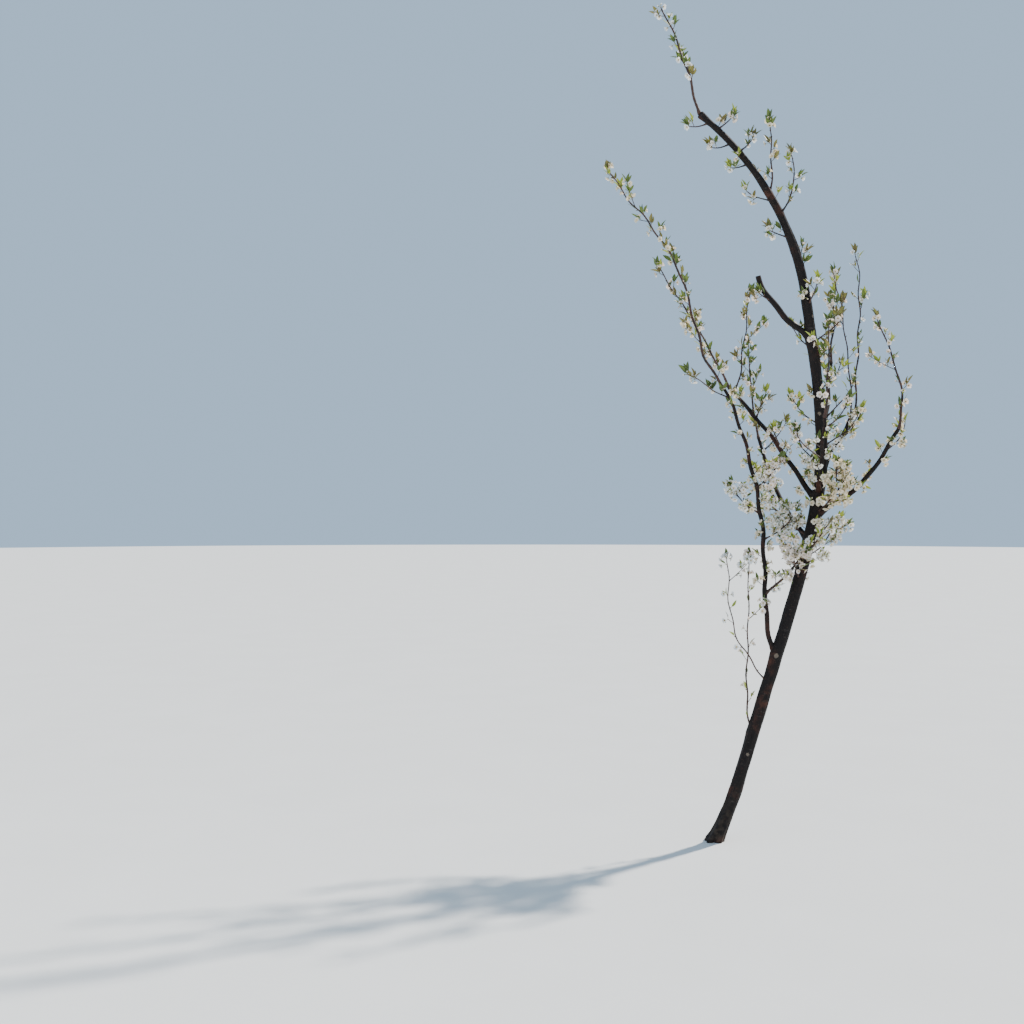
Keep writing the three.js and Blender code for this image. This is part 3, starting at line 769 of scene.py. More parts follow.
def sawn_lay(limb, points, lay, face_bare, rings, columns):
    """On the sawn face the UV place is the distance from the middle, in two directions."""
    _, _, across, aside, _ = axis_at(limb, np.array([float(limb.reach)]))
    spots = points - points[-1].mean(axis=0)
    flat = np.stack([np.sum(spots * across, -1), np.sum(spots * aside, -1)], -1) * METRES
    walls = (rings - 1) * columns
    faces = lay[: walls * 4].reshape(rings - 1, columns, 4, 2)
    beside = np.roll(flat, -1, axis=1)
    for i in (rings - 3, rings - 2):
        faces[i] = np.stack([flat[i], beside[i], beside[i + 1], flat[i + 1]], 1)
        face_bare[i * columns : (i + 1) * columns] = 1
    fan = lay[walls * 4 :].reshape(2, columns, 3, 2)
    fan[1] = np.stack([np.zeros_like(flat[-1]), flat[-1], beside[-1]], 1)
    return lay, face_bare


TRUNK_SPACING, TRUNK_COLUMNS = 3.9, 64
BOUGH_SPACING, BOUGH_COLUMNS = 4.4, 28
points, faces, lay, shades = skin_limb(trunk, TRUNK_SPACING, TRUNK_COLUMNS)
make_piece("trunk_skin", points, faces, [trunk_bark, sawn_wood], ["trunk"], shades, lay)
for limb in boughs:
    points, faces, lay, shades = skin_limb(limb, BOUGH_SPACING, BOUGH_COLUMNS, limb.name == "cut_stub")
    finishes = [bough_bark, sawn_wood]
    make_piece(f"{limb.name}_skin", points, faces, finishes, [limb.name], shades, lay)

# %% [markdown]
# ## Growth
#
# The sprays grow by the rule of the solids: spurs follow one another up a stem, two fifths of
# a turn apart, and on a long shoot every fourth place has a side twig. Here each place is
# carried on to what a real spur bears. Two smaller spurs stand between the places, each spur
# is a stub of wood, and a cluster of flowers on stalks and a few leaves opens from its tip.

# %% Directions that leave an axis
def leaving(along, turn, angle):
    """Unit vectors at an angle to the axes, in degrees, each turned round its axis."""
    across = square_to(along, far_from(along))
    around = turned(across, np.cross(along, across), np.radians(turn))
    return turned(along, around, np.radians(angle))


SPUR_SPACING, SPUR_TURN, BETWEEN_TURN, SEED_TURN = 100, 144, 127, 50
LONG_SHOOT, LONG_ANGLE, SHORT_ANGLE = 430, 48, 62
HALF_BLOSSOM = 22


def spur_places(limb):
    """Three places for each of the rule's: the middle one is the rule's own, with its turn of
    144 degrees from the last, and one lies either side of it. Gives the distance along the
    stem, the turn, whether the place is the rule's own and its number."""
    clear = limb.bearer_radius + HALF_BLOSSOM
    count = max(1, round((limb.reach - clear) / SPUR_SPACING * limb.spurs))
    fine = np.arange(3 * count)
    walked = clear + (limb.reach - clear) * (fine + 0.5) / (3 * count)
    number, part = fine // 3, fine % 3
    turn = SPUR_TURN * number + limb.seed * SEED_TURN + (part - 1) * BETWEEN_TURN
    return walked, turn, part == 1, number


print("places on the long left shoot:", len(spur_places(limbs["shoot_left_long"])[0]))


# %% Side twigs
CLOUD_TOP, TWIGGY_REACH, TWIG_EVERY = 1950, 160, 4
LONG_TWIGS = (0.85, 0.22, 60, 130)
SHORT_TWIGS = (0.8, 0.25, 45, 80)


def twig_sites(limb):
    """Which of a stem's places bear a side twig, and the twig's length. They are every fourth
    place of a long shoot and, on the short sprays low down, where the bloom is thickest, the
    places between. The last place and the length are shares of the reach, within bounds."""
    walked, turn, own, number = spur_places(limb)
    if limb.reach > LONG_SHOOT:
        chosen, rule = own & (number % TWIG_EVERY == 2), LONG_TWIGS
    else:
        thick = limb.reach > TWIGGY_REACH and limb.points[0, 2] < CLOUD_TOP
        chosen, rule = ~own & thick, SHORT_TWIGS
    last, share, shortest, longest = rule
    chosen = chosen & (walked < last * limb.reach)
    return walked, turn, chosen, np.clip(limb.reach * share, shortest, longest)


def side_twigs():
    """The foot, way, length and bearer's number of every side twig."""
    twigs = []
    for limb in stems:
        walked, turn, chosen, length = twig_sites(limb)
        place, along, _, _, _ = axis_at(limb, walked[chosen])
        ways = leaving(along, turn[chosen], LONG_ANGLE)
        twigs += [(foot, way, length, limb.seed) for foot, way in zip(place, ways)]
    return [np.array(values) for values in zip(*twigs)]


def lifted_paths(foot, way, length, rows, lift):
    """Paths from foot along way, whose ends curve up by a share of their length."""
    share = np.linspace(0, 1, rows)[None, :, None]
    length = length[:, None, None]
    return foot[:, None] + way[:, None] * length * share + UP * (lift * length * share**2)


TWIG_ROWS, TWIG_LIFT = 10, 0.10
twig_foot, twig_way, twig_length, twig_limb = side_twigs()
twig_paths = lifted_paths(twig_foot, twig_way, twig_length, TWIG_ROWS, TWIG_LIFT)
print("side twigs:", len(twig_foot))

# %% Where clusters stand
TIP_WOOD, TIP_STRENGTH = 2.0, 1.2
BLOOM_SHARES = {
    "water_shoot_1": (0.25, 0.7, 1.0), "water_shoot_2": (0.25, 0.7, 1.0),
    "shoot_right_tall": (0.25, 0.4, 0.6), "shoot_right_thin": (0.25, 0.4, 0.6),
    "shoot_right_bend": (0.6, 0.7, 0.8), "shoot_right_leafy": (0.45, 0.45, 0.5),
}


class Seats:
    """Where the clusters stand: a place on a stem's axis, the way the spur leaves it, its
    wooden length, how strong it is and the number of the limb that bears it."""

    def __init__(self):
        self.place, self.way, self.wood, self.strong, self.limb = [], [], [], [], []

    def add(self, place, way, wood, strong, limb):
        self.place.append(place)
        self.way.append(way)
        self.wood.append(wood)
        self.strong.append(strong)
        self.limb.append(np.broadcast_to(limb, len(place)))

    def join(self):
        for name, parts in vars(self).items():
            setattr(self, name, np.concatenate(parts))

    def keep(self, chosen):
        for name, values in vars(self).items():
            setattr(self, name, values[chosen])


print("stems with a bloom of their own:", ", ".join(BLOOM_SHARES))

# %% Clusters on the stems
BETWEEN_SHARE, SHORT_BETWEEN_SHARE, BARE_WHIP = 0.72, 0.5, 150
OWN_WOOD, BETWEEN_WOOD, TWIG_WOOD, BOUGH_WOOD = (14, 40), (4, 12), (3, 9), (8, 30)
BETWEEN_STRENGTH, BOUGH_STRENGTH, NEAR_TIP = 0.5, 0.85, 0.72
FIRST_PLACE, PLACE_DRIFT, ANGLE_DRIFT = 10, 8, 8
seats = Seats()


def add_stem_clusters(limb):
    """A cluster at each place without a side twig, and one at the tip. High up some of the
    places between the rule's own are left out."""
    walked, turn, twiggy, _ = twig_sites(limb)
    own = spur_places(limb)[2]
    if limb.reach > LONG_SHOOT:
        share, angle = BETWEEN_SHARE, LONG_ANGLE
    else:
        share, angle = SHORT_BETWEEN_SHARE, SHORT_ANGLE
    few = rng.uniform(0, 1, len(walked)) > share
    keep = ~twiggy & ~(~own & few & (limb.points[0, 2] > CLOUD_TOP))
    if limb.name == "leader_whip":
        keep &= walked > BARE_WHIP
    walked, turn, own = walked[keep], turn[keep], own[keep]
    total = len(walked)
    walked = np.clip(walked + rng.uniform(-PLACE_DRIFT, PLACE_DRIFT, total), FIRST_PLACE, limb.reach)
    place, along, _, _, radius = axis_at(limb, walked)
    way = leaving(along, turn, angle + rng.uniform(-ANGLE_DRIFT, ANGLE_DRIFT, total))
    wood = radius + np.where(own, rng.uniform(*OWN_WOOD, total), rng.uniform(*BETWEEN_WOOD, total))
    along_it, near_tip, at_tip = BLOOM_SHARES.get(limb.name, (1.0, 1.0, 1.0))
    strong = np.where(own, 1.0, BETWEEN_STRENGTH)
    strong = strong * np.where(walked > NEAR_TIP * limb.reach, near_tip, along_it)
    seats.add(place, way, wood, strong, limb.seed)
    end, along, _, _, _ = axis_at(limb, np.array([limb.reach - 1.0]))
    seats.add(end, along, np.array([TIP_WOOD]), np.array([TIP_STRENGTH * at_tip]), limb.seed)


for limb in stems:
    add_stem_clusters(limb)
TWIG_CLUSTERS = ((3, 110, 0.5), (6, 250, 0.75), (9, None, 1.05))
TWIG_CLUSTER_ANGLE = 55.0
for row, turn, strong in TWIG_CLUSTERS:
    way = unit(twig_paths[:, row] - twig_paths[:, row - 1])
    if turn is not None:
        way = leaving(way, turn + SEED_TURN * twig_limb, TWIG_CLUSTER_ANGLE)
    wood = rng.uniform(*TWIG_WOOD, len(way))
    seats.add(twig_paths[:, row], way, wood, np.full(len(way), strong), twig_limb)
print("clusters on stems and side twigs:", sum(len(part) for part in seats.place))

# %% [markdown]
# ### Spurs on the older wood
#
# The boughs bear short spurs of their own between the sprays, and so does the trunk from chest
# height up. They stand round the limb by the golden angle, which leaves no side bare. The
# lowest bough is bare near its foot, and the leader has few of them.

# %% Spurs straight on the boughs
GOLDEN = 137.508
BOUGH_SPURS = [("trunk", 1470, 2330, 44), ("trunk", 2330, 4050, 170)]
FOOT_CLEAR, LOW_FOOT_CLEAR, TIP_CLEAR, SPUR_GAP = 90, 380, 30, 52
SPACING_DRIFT, OLD_WOOD_ANGLES = 0.3, (60, 78)
for limb in boughs:
    if limb.name != "cut_stub":
        first = LOW_FOOT_CLEAR if limb.name == "bough_left_low" else FOOT_CLEAR
        BOUGH_SPURS.append((limb.name, first, limb.reach - TIP_CLEAR, SPUR_GAP))
for name, first, last, spacing in BOUGH_SPURS:
    limb = limbs[name]
    walked = np.arange(first, last, spacing) + 0.0
    total = len(walked)
    walked += rng.uniform(-SPACING_DRIFT, SPACING_DRIFT, total) * spacing
    place, along, _, _, radius = axis_at(limb, walked)
    turn = GOLDEN * np.arange(total) + limb.seed * SEED_TURN
    way = leaving(along, turn, rng.uniform(*OLD_WOOD_ANGLES, total))
    wood = radius + rng.uniform(*BOUGH_WOOD, total)
    seats.add(place, way, wood, np.full(total, BOUGH_STRENGTH), limb.seed)
seats.join()
print("clusters in all:", len(seats.place))

# %% [markdown]
# ### Room
#
# A spur that would run into another limb is left out, and so is a blossom or leaf that would
# touch bark, dip to the ground or stand out of the tree's own space. Distances are measured
# from every tip to points along every limb at once, as one table of numbers.

# %% Keeping clear of limbs
axis_samples = np.concatenate([limb.fine for limb in limbs.values()])
axis_radius = np.concatenate([
    at_stations(limb.radius, limb.fine_walked / limb.reach) for limb in limbs.values()
])
axis_owner = np.concatenate([np.full(len(limb.fine), limb.seed) for limb in limbs.values()])
ROOM_BLOCK, SPUR_ROOM = 400, (-9.0, 6.0, 12)


def has_room(spots, owners, own_room, other_room, margin):
    """Whether each spot is further from all bark than the room it needs, and inside the
    tree's box by a margin. Its own limb may be nearer than another."""
    free = np.empty(len(spots), bool)
    for block in np.array_split(np.arange(len(spots)), max(1, len(spots) // ROOM_BLOCK)):
        away = np.linalg.norm(spots[block, None] - axis_samples[None], axis=-1) - axis_radius
        own = owners[block, None] == axis_owner[None]
        free[block] = np.all(away > np.where(own, own_room, other_room), axis=1)
    inside = np.all((spots > LOWEST + margin) & (spots < HIGHEST - margin), axis=1)
    return free & inside


straight_tip = seats.place + seats.way * seats.wood[:, None]
free = has_room(straight_tip, seats.limb, *SPUR_ROOM)
seats.keep(free)
print("spurs with room:", free.sum(), "of", len(free))

# %% [markdown]
# ## Twigs and spurs
#
# All thin wood is one kind of shape, a tube round a path whose radius changes along it. The
# paths of one length are a single array, so a hundred twigs cost one formula. Stems swell at
# their nodes; spurs are short, knuckled stubs with rings left by the bud scales of past years.

# %% Tubes round many paths
def spokes(along, near, columns):
    """Unit vectors square to along and evenly spaced round it, the first one towards near."""
    across = square_to(along, near)
    aside = np.cross(along, across)
    turn = np.linspace(0, 2 * np.pi, columns, endpoint=False)
    return turned(across[..., None, :], aside[..., None, :], turn)


def many_tubes(paths, radii, columns):
    """Tubes P = path + r (a cos t + b sin t) for n paths of k points: a is square to the path
    and turns with it, b is square to both. Closed by a pole at each end."""
    count, rows = paths.shape[:2]
    along = unit(np.gradient(paths, axis=1))
    ring = spokes(along, far_from(along[:, :1]), columns)
    points = paths[:, :, None] + ring * radii[:, :, None, None]
    poles = np.stack([paths[:, 0], paths[:, -1]], axis=1)
    points = np.concatenate([points.reshape(count, rows * columns, 3), poles], axis=1)
    faces = [repeat_faces(part, count, points.shape[1]) for part in ring_faces(rows, columns)]
    return points.reshape(-1, 3), faces


print("tube helpers ready")

# %% Stems
STEM_ROW, STEM_COLUMNS, TIP_SHARE = 7.0, 9, 0.55
KNUCKLE_SWELL, KNUCKLE_LENGTH, WRINKLE, WRINKLE_WAVE = 0.16, 6.0, 0.15, 3.1
FOOT_SWELL, SIDE_FOOT, TIP_FOOT_START, TIP_FOOT = 0.55, 16, 4, 22


def stem_tube(limb):
    """A stem with a taper, a small knuckle at each spur, fine wrinkles and a swollen foot."""
    if limb.height == "tip":
        start, foot_start, foot = 0.0, TIP_FOOT_START, TIP_FOOT
    else:
        start, foot_start, foot = SUNK_SHARE * limb.bearer_radius, limb.bearer_radius, SIDE_FOOT
    walked = np.linspace(start, limb.reach - 0.5, int(limb.reach / STEM_ROW))
    place, _, _, _, radius = axis_at(limb, walked)
    knuckles = bell(walked[:, None] - spur_places(limb)[0], KNUCKLE_LENGTH).sum(axis=1)
    wrinkles = WRINKLE * np.sin(walked / WRINKLE_WAVE + limb.seed)
    radius = radius * (1 + KNUCKLE_SWELL * np.minimum(knuckles, 1)) + wrinkles
    radius = radius * (1 + FOOT_SWELL * bell(np.maximum(0, walked - foot_start), foot))
    radius[-1] *= TIP_SHARE
    return many_tubes(place[None], radius[None], STEM_COLUMNS)


wood_parts = [stem_tube(limb) for limb in stems]
print("stems:", len(wood_parts))

# %% Spurs and side twigs
SPUR_KNUCKLES = np.array([1.9, 1.6, 1.95, 1.55, 2.1, 1.5])
SPUR_LIFT, WEAK_SPUR, TWIG_ENDS = 0.12, 0.8, (2.5, 1.3)
SPUR_COLUMNS, TWIG_COLUMNS = 5, 7
spur_paths = lifted_paths(seats.place, seats.way, seats.wood, len(SPUR_KNUCKLES), SPUR_LIFT)
spur_tip = spur_paths[:, -1]
spur_radii = SPUR_KNUCKLES * rng.uniform(0.8, 1.15, (len(spur_tip), 1))
spur_radii = spur_radii * np.where(seats.strong > BETWEEN_STRENGTH, 1.0, WEAK_SPUR)[:, None]
twig_radii = np.linspace(*TWIG_ENDS, TWIG_ROWS) * rng.uniform(0.92, 1.08, twig_paths.shape[:2])
wood_parts.append(many_tubes(twig_paths, twig_radii, TWIG_COLUMNS))
wood_parts.append(many_tubes(spur_paths, spur_radii, SPUR_COLUMNS))
print("spurs:", len(spur_tip))

# %% The finish of young wood
TWIG_DARK, TWIG_RED = (0.020, 0.012, 0.010), (0.066, 0.029, 0.020)
TWIG_SILVER, TWIG_DOTS = (0.115, 0.095, 0.082), (0.22, 0.14, 0.085)


def twig_finish():
    """Red-brown young bark with a thin silver skin in places, and pale dots."""
    finish = Finish("twig_bark")
    place = finish.node("ShaderNodeTexCoord", output=3)
    patches = finish.noise(place, 16.0, 3.0).above(0.36, 0.64)
    silver = finish.noise(place, 70.0, 4.0, 0.6)
    dots = finish.node("ShaderNodeTexVoronoi", {}, {"Vector": place, "Scale": 210.0})
    dotted = 1 - dots.above(0.14, 0.26)
    tint = finish.blend(patches, TWIG_DARK, TWIG_RED)
    tint = finish.blend(silver.above(0.56, 0.70) * 0.5, tint, TWIG_SILVER)
    tint = finish.blend(dotted * 0.5, tint, TWIG_DOTS)
    sockets = {
        "Base Color": tint,
        "Roughness": 0.46 + silver * 0.3,
        "Normal": finish.bump(silver + dotted, 0.0005, 0.6),
        "Specular IOR Level": 0.3,
    }
    return finish.end(finish.node("ShaderNodeBsdfPrincipled", {}, sockets))


twig_bark = twig_finish()
thin_nodes = ["leader_whip", "water_shoot_1", "water_shoot_2"]
points, faces = join_copies(wood_parts)
make_piece("twigs_and_spurs", points, faces, [twig_bark], thin_nodes)

# %% [markdown]
# ## How many flowers
#
# The bloom is thickest round the trunk between chest height and a little over head height,
# where it makes a white cloud. On the leader and the long shoots the clusters are smaller and
# leaves show between them. So the number of flowers from a spur depends on its height and its
# strength.
#
# The flowers stand over a cap round the spur's way. Each is turned on by the golden angle from
# the one before, and tilted so far that the caps inside them grow by equal areas. This spaces
# any number of flowers evenly, where random directions would leave some of them touching.

# %% Flowers of each cluster
BLOOM_HEIGHTS = [500, 1200, 1400, 1550, 1850, 2000, 2200, 3100, 4400]
BLOOM_COUNTS = [2.4, 3.2, 3.6, 6.6, 6.9, 5.4, 3.3, 2.9, 2.5]
COUNT_DRIFT, MOST_FLOWERS = 1.2, 8


def drawn_counts(wanted, drift, most):
    """Whole numbers drawn round the wanted ones, from 0 to the most."""
    return np.clip(np.round(wanted + rng.uniform(-drift, drift, len(wanted))), 0, most).astype(int)


def repeat_for(counts):
    """For each thing, the number of its bearer and its own number there, from 0."""
    bearer = np.repeat(np.arange(len(counts)), counts)
    first = np.repeat(np.cumsum(counts) - counts, counts)
    return bearer, np.arange(len(bearer)) - first


wanted = np.interp(spur_tip[:, 2], BLOOM_HEIGHTS, BLOOM_COUNTS) * seats.strong
flower_count = drawn_counts(wanted, COUNT_DRIFT, MOST_FLOWERS)
bearer, rank = repeat_for(flower_count)
print("flowers to place:", len(bearer))

# %% The ways they face
CAP_ANGLE, LONE_TILT, TILT_DRIFT, LEAST_TILT, MOST_TILT = 98, 18.0, 8, 5, 102
CLUSTER_TURN, STALK_LIFT = 77.0, 0.15
share = (rank + 0.5) / flower_count[bearer]
tilt = np.degrees(np.arccos(1 - (1 - np.cos(np.radians(CAP_ANGLE))) * share))
tilt = np.where(flower_count[bearer] == 1, LONE_TILT, tilt)
tilt = np.clip(tilt + rng.uniform(-TILT_DRIFT, TILT_DRIFT, len(bearer)), LEAST_TILT, MOST_TILT)
stalk_way = leaving(seats.way[bearer], GOLDEN * rank + CLUSTER_TURN * bearer, tilt)
stalk_way = unit(stalk_way + STALK_LIFT * UP)
print("mean tilt of a stalk in degrees:", tilt.mean().round(1))

# %% Stalks whose flowers have room
STALK_LENGTHS, HIGH_STALKS, BEHIND_TIP = (14, 26), 0.72, 0.8
BLOSSOM_MIDDLE, BLOSSOM_ROOM = 6, (11.0, 13.0, 16)
stalk_length = rng.uniform(*STALK_LENGTHS, len(bearer))
stalk_length = stalk_length * np.where(spur_tip[bearer, 2] > CLOUD_TOP, HIGH_STALKS, 1.0)
stalk_root = spur_tip[bearer] - seats.way[bearer] * BEHIND_TIP
blossom_place = stalk_root + stalk_way * stalk_length[:, None]
free = has_room(blossom_place + stalk_way * BLOSSOM_MIDDLE, seats.limb[bearer], *BLOSSOM_ROOM)
bearer, stalk_way, stalk_length, stalk_root, blossom_place = (
    values[free] for values in (bearer, stalk_way, stalk_length, stalk_root, blossom_place)
)
print("blossoms:", len(bearer))

# %% [markdown]
# ## A blossom
#
# Five petals stand on the rim of a small green cup, with a tuft of stamens in the middle, and
# the whole hangs on a thin stalk. A petal is a surface of two parameters: how far out, and
# how far to its side. Its middle line leaves the cup at an angle that opens further outwards,
# its width swells and draws in again, and its sides curl up. Every petal has its own angle
# and turn, so all blossoms are one formula on one array instead of copies of one flower.

# %% Frames of the blossoms
FACING_DRIFT, BUDDING_HEIGHT = 0.28, 2400
HIGH_CLOSED, LOW_CLOSED, HALF_OPEN = 0.22, 0.12, 0.25
CLOSED_PETAL, OPEN_PETALS = 9.0, (14.6, 17.2)
facing = unit(stalk_way + rng.normal(0, FACING_DRIFT, stalk_way.shape))
face_across = square_to(facing, rng.normal(0, 1, facing.shape))
face_aside = np.cross(facing, face_across)
blossom_total = len(facing)
closed_share = np.where(blossom_place[:, 2] > BUDDING_HEIGHT, HIGH_CLOSED, LOW_CLOSED)
closed = rng.uniform(0, 1, blossom_total) < closed_share
half_open = ~closed & (rng.uniform(0, 1, blossom_total) < HALF_OPEN)
petal_length = np.where(closed, CLOSED_PETAL, rng.uniform(*OPEN_PETALS, blossom_total))
print("closed buds:", closed.sum(), "half open:", half_open.sum())

# %% Petals
PETALS = 5
OUTWARDS = np.array([0.0, 0.25, 0.66, 1.0])
HALF_WIDTHS = np.array([0.12, 0.32, 0.47, 0.26])
NOTCH, SIDE_CURL, CLOSED_WIDTH = 0.07, 0.26, 0.55
CUP_HEIGHT, CUP_RADIUS = 4.2, 1.8
CLOSED_OPENING, HALF_OPENING, FULL_OPENING, OPENING_DRIFT = 26.0, 46.0, 72.0, 6
CLOSED_BEND, OPEN_BEND = (1.2, -2.0), (0.72, 0.42)
TURN_DRIFT, LENGTH_DRIFT = 0.07, 0.07


def petal_points():
    """Points of all petals, (blossoms, petals, rows, 3 across). With o the angle of opening,
    the middle line's angle from the flower's axis is o (c0 + c1 u); its steps sum to the
    radius and the height. The sides stand off the middle line by w(u) v, and curl up v^2."""
    each = (blossom_total, PETALS)
    spin = rng.uniform(0, 2 * np.pi, (blossom_total, 1))
    turn = spin + 2 * np.pi * np.arange(PETALS) / PETALS + rng.normal(0, TURN_DRIFT, each)
    opening = np.where(closed, CLOSED_OPENING, np.where(half_open, HALF_OPENING, FULL_OPENING))
    opening = np.radians(opening[:, None] + rng.normal(0, OPENING_DRIFT, each))[..., None]
    length = petal_length[:, None] * rng.uniform(1 - LENGTH_DRIFT, 1 + LENGTH_DRIFT, each)
    length = length[..., None]
    shut = closed[:, None, None]
    c0, c1 = (np.where(shut, *bends) for bends in zip(CLOSED_BEND, OPEN_BEND))
    middle = (OUTWARDS[1:] + OUTWARDS[:-1]) / 2
    lean, step = opening * (c0 + c1 * middle), np.diff(OUTWARDS) * length
    out = CUP_RADIUS + np.concatenate([0 * length, np.cumsum(np.sin(lean) * step, -1)], -1)
    up = CUP_HEIGHT + np.concatenate([0 * length, np.cumsum(np.cos(lean) * step, -1)], -1)
    lean = (opening * (c0 + c1 * OUTWARDS))[..., None]
    side = np.array([-1.0, 0.0, 1.0])
    width = (HALF_WIDTHS * length * np.where(shut, CLOSED_WIDTH, 1.0))[..., None]
    raised = SIDE_CURL * width * side**2
    notched = NOTCH * length[..., None] * (OUTWARDS == 1.0)[:, None] * (side == 0)
    out = out[..., None] - raised * np.cos(lean) - notched * np.sin(lean)
    up = up[..., None] + raised * np.sin(lean) - notched * np.cos(lean)
    across = (width * side)[..., None]
    a, b, f, centre = (
        v[:, None, None, None] for v in (face_across, face_aside, facing, blossom_place)
    )
    turn = turn[..., None, None]
    radial, tangent = turned(a, b, turn), turned(b, -a, turn)
    return centre + out[..., None] * radial + up[..., None] * f + across * tangent


def sheet_faces(count, rows, columns):
    """Faces of count separate sheets, each a grid of rows * columns points."""
    i, j = np.meshgrid(np.arange(rows - 1), np.arange(columns - 1), indexing="ij")
    corner = i * columns + j
    grid = np.stack([corner, corner + columns, corner + columns + 1, corner + 1], -1).reshape(-1, 4)
    return repeat_faces(grid, count, rows * columns)


petal_grid = petal_points()
print("petals:", blossom_total * PETALS, "faces each:", (len(OUTWARDS) - 1) * 2)

# %% [markdown]
# ### The whites
#
# Petals are thin, so light from behind comes through them. A mix of a soft surface and a
# translucent one does that. Each spray has one of four whites as its plain colour, from cool
# to warm, so that neighbouring sprays stand apart as they do on the tree. The warm and the
# blush whites are also painted light: the golden and pink glow of petals lit from behind. The
# foot of every petal, next to the cup, has a warmer plain colour of its own.


# %% Petal finishes
PETAL_THROUGH = 0.3


def petal_finish(name, white, warm):
    """A plain white, a breath of a warmer one where the veins gather, and light through it."""
    finish = Finish(name)
    place = finish.node("ShaderNodeTexCoord", output=3)
    veins = finish.noise(place, 420.0, 2.0)
    tint = finish.blend(veins.above(0.35, 0.75) * 0.5, white, warm)
    sockets = {
        "Base Color": tint,
        "Roughness": 0.55 + veins * 0.15,
        "Normal": finish.bump(veins, 0.0003, 0.35),
        "Specular IOR Level": 0.3,
    }
    surface = finish.node("ShaderNodeBsdfPrincipled", {}, sockets)
    return finish.end(finish.lit_through(PETAL_THROUGH, surface, warm))


# The warm and blush whites are painted light: the glow of petals lit from behind, dealt out by spray like
# the others.
WHITES = {
    "petal_cool_white": ((0.87, 0.88, 0.88), (0.82, 0.82, 0.79)),
    "petal_clean_white": ((0.88, 0.87, 0.83), (0.83, 0.79, 0.70)),
    "petal_warm_white": ((0.87, 0.80, 0.65), (0.80, 0.69, 0.49)),
    "petal_blush_white": ((0.87, 0.80, 0.74), (0.81, 0.68, 0.58)),
}
whites = [petal_finish(name, *tints) for name, tints in WHITES.items()]
whites.append(petal_finish("petal_foot", (0.76, 0.66, 0.42), (0.68, 0.50, 0.26)))
limb_white = rng.integers(0, len(WHITES), len(limbs) + 1)
petal_shade = np.empty((blossom_total, PETALS, len(OUTWARDS) - 1, 2), int)
petal_shade[:] = limb_white[seats.limb[bearer]][:, None, None, None]
petal_shade[:, :, 0] = len(WHITES)
print("whites:", [material.name for material in whites])

# %% The petals' pieces
LOW_LIMB = 2200
leafy_nodes = ["shoot_right_leafy", "shoot_left_side"]
flowering = [limb for limb in stems if limb.name not in thin_nodes + leafy_nodes]
lower = blossom_place[:, 2] < np.median(blossom_place[:, 2])
for name, chosen, low in (("petals_low", lower, True), ("petals_high", ~lower, False)):
    points, shades = petal_grid[chosen].reshape(-1, 3), petal_shade[chosen].ravel()
    faces = sheet_faces(chosen.sum() * PETALS, len(OUTWARDS), 3)
    dressed = [limb.name for limb in flowering if (limb.points[:, 2].mean() < LOW_LIMB) == low]
    make_piece(name, points, [faces], whites, dressed, shades)

# %% [markdown]
# ## Stamens
#
# A tuft of pale threads, each with a tan anther, fills the flower. They are what gives a
# cluster its warm middle against the light. A thread is a needle of three sides, an anther a
# tiny bead of six faces, and all of them are made from two arrays of directions.

# %% Where the threads grow
STAMENS, THREAD_TILTS, THREAD_LENGTHS = 8, (8, 44), (6.0, 9.5)
HALF_OPEN_TILT, THREAD_FOOT, THREAD_RING = 0.6, 3.6, 1.0
open_ones = np.flatnonzero(~closed)
tilt = rng.uniform(*THREAD_TILTS, (len(open_ones), STAMENS))
tilt = np.radians(tilt * np.where(half_open[open_ones], HALF_OPEN_TILT, 1)[:, None])
spin = np.radians(GOLDEN * np.arange(STAMENS) + rng.uniform(0, 360, (len(open_ones), 1)))
across, aside, ahead = (v[open_ones][:, None] for v in (face_across, face_aside, facing))
around = turned(across, aside, spin)
thread_way = turned(ahead, around, tilt)
thread_root = blossom_place[open_ones][:, None] + ahead * THREAD_FOOT + around * THREAD_RING
thread_length = rng.uniform(*THREAD_LENGTHS, tilt.shape)
thread_tip = thread_root + thread_way * thread_length[..., None]
print("threads:", tilt.size)


# %% Needles and beads
def needles(root, tip, radius):
    """Three-sided needles from roots to tips, closed at the root: four points, four faces."""
    along = unit(tip - root)
    ring = root[:, None] + spokes(along, far_from(along), 3) * radius
    points = np.concatenate([ring, tip[:, None]], axis=1)
    sides = np.array([[0, 1, 3], [1, 2, 3], [2, 0, 3], [2, 1, 0]])
    return points.reshape(-1, 3), repeat_faces(sides, len(root), 4)


def beads(centre, along, length, radius):
    """Six-faced beads: a ring of three points between two poles, radius by length."""
    ring = centre[:, None] + spokes(along, far_from(along), 3) * radius
    ends = centre[:, None] + along[:, None] * np.array([-0.5, 0.5])[:, None] * length
    points = np.concatenate([ring, ends], axis=1)
    sides = np.array([[0, 1, 4], [1, 2, 4], [2, 0, 4], [1, 0, 3], [2, 1, 3], [0, 2, 3]])
    return points.reshape(-1, 3), repeat_faces(sides, len(centre), 5)


print("needles have 4 faces, beads 6")


# %% Finishes of small parts
def plain_finish(name, tint, other, roughness, scale=300.0, through=0.0):
    """A colour that drifts a little to another, for parts too small to show a pattern."""
    finish = Finish(name)
    place = finish.node("ShaderNodeTexCoord", output=3)
    drift = finish.noise(place, scale, 2.0)
    sockets = {
        "Base Color": finish.blend(drift.above(0.35, 0.7), tint, other),
        "Roughness": roughness + drift * 0.12,
        "Normal": finish.bump(drift, 0.0003, 0.4),
    }
    surface = finish.node("ShaderNodeBsdfPrincipled", {}, sockets)
    if through:
        surface = finish.lit_through(through, surface, other)
    return finish.end(surface)


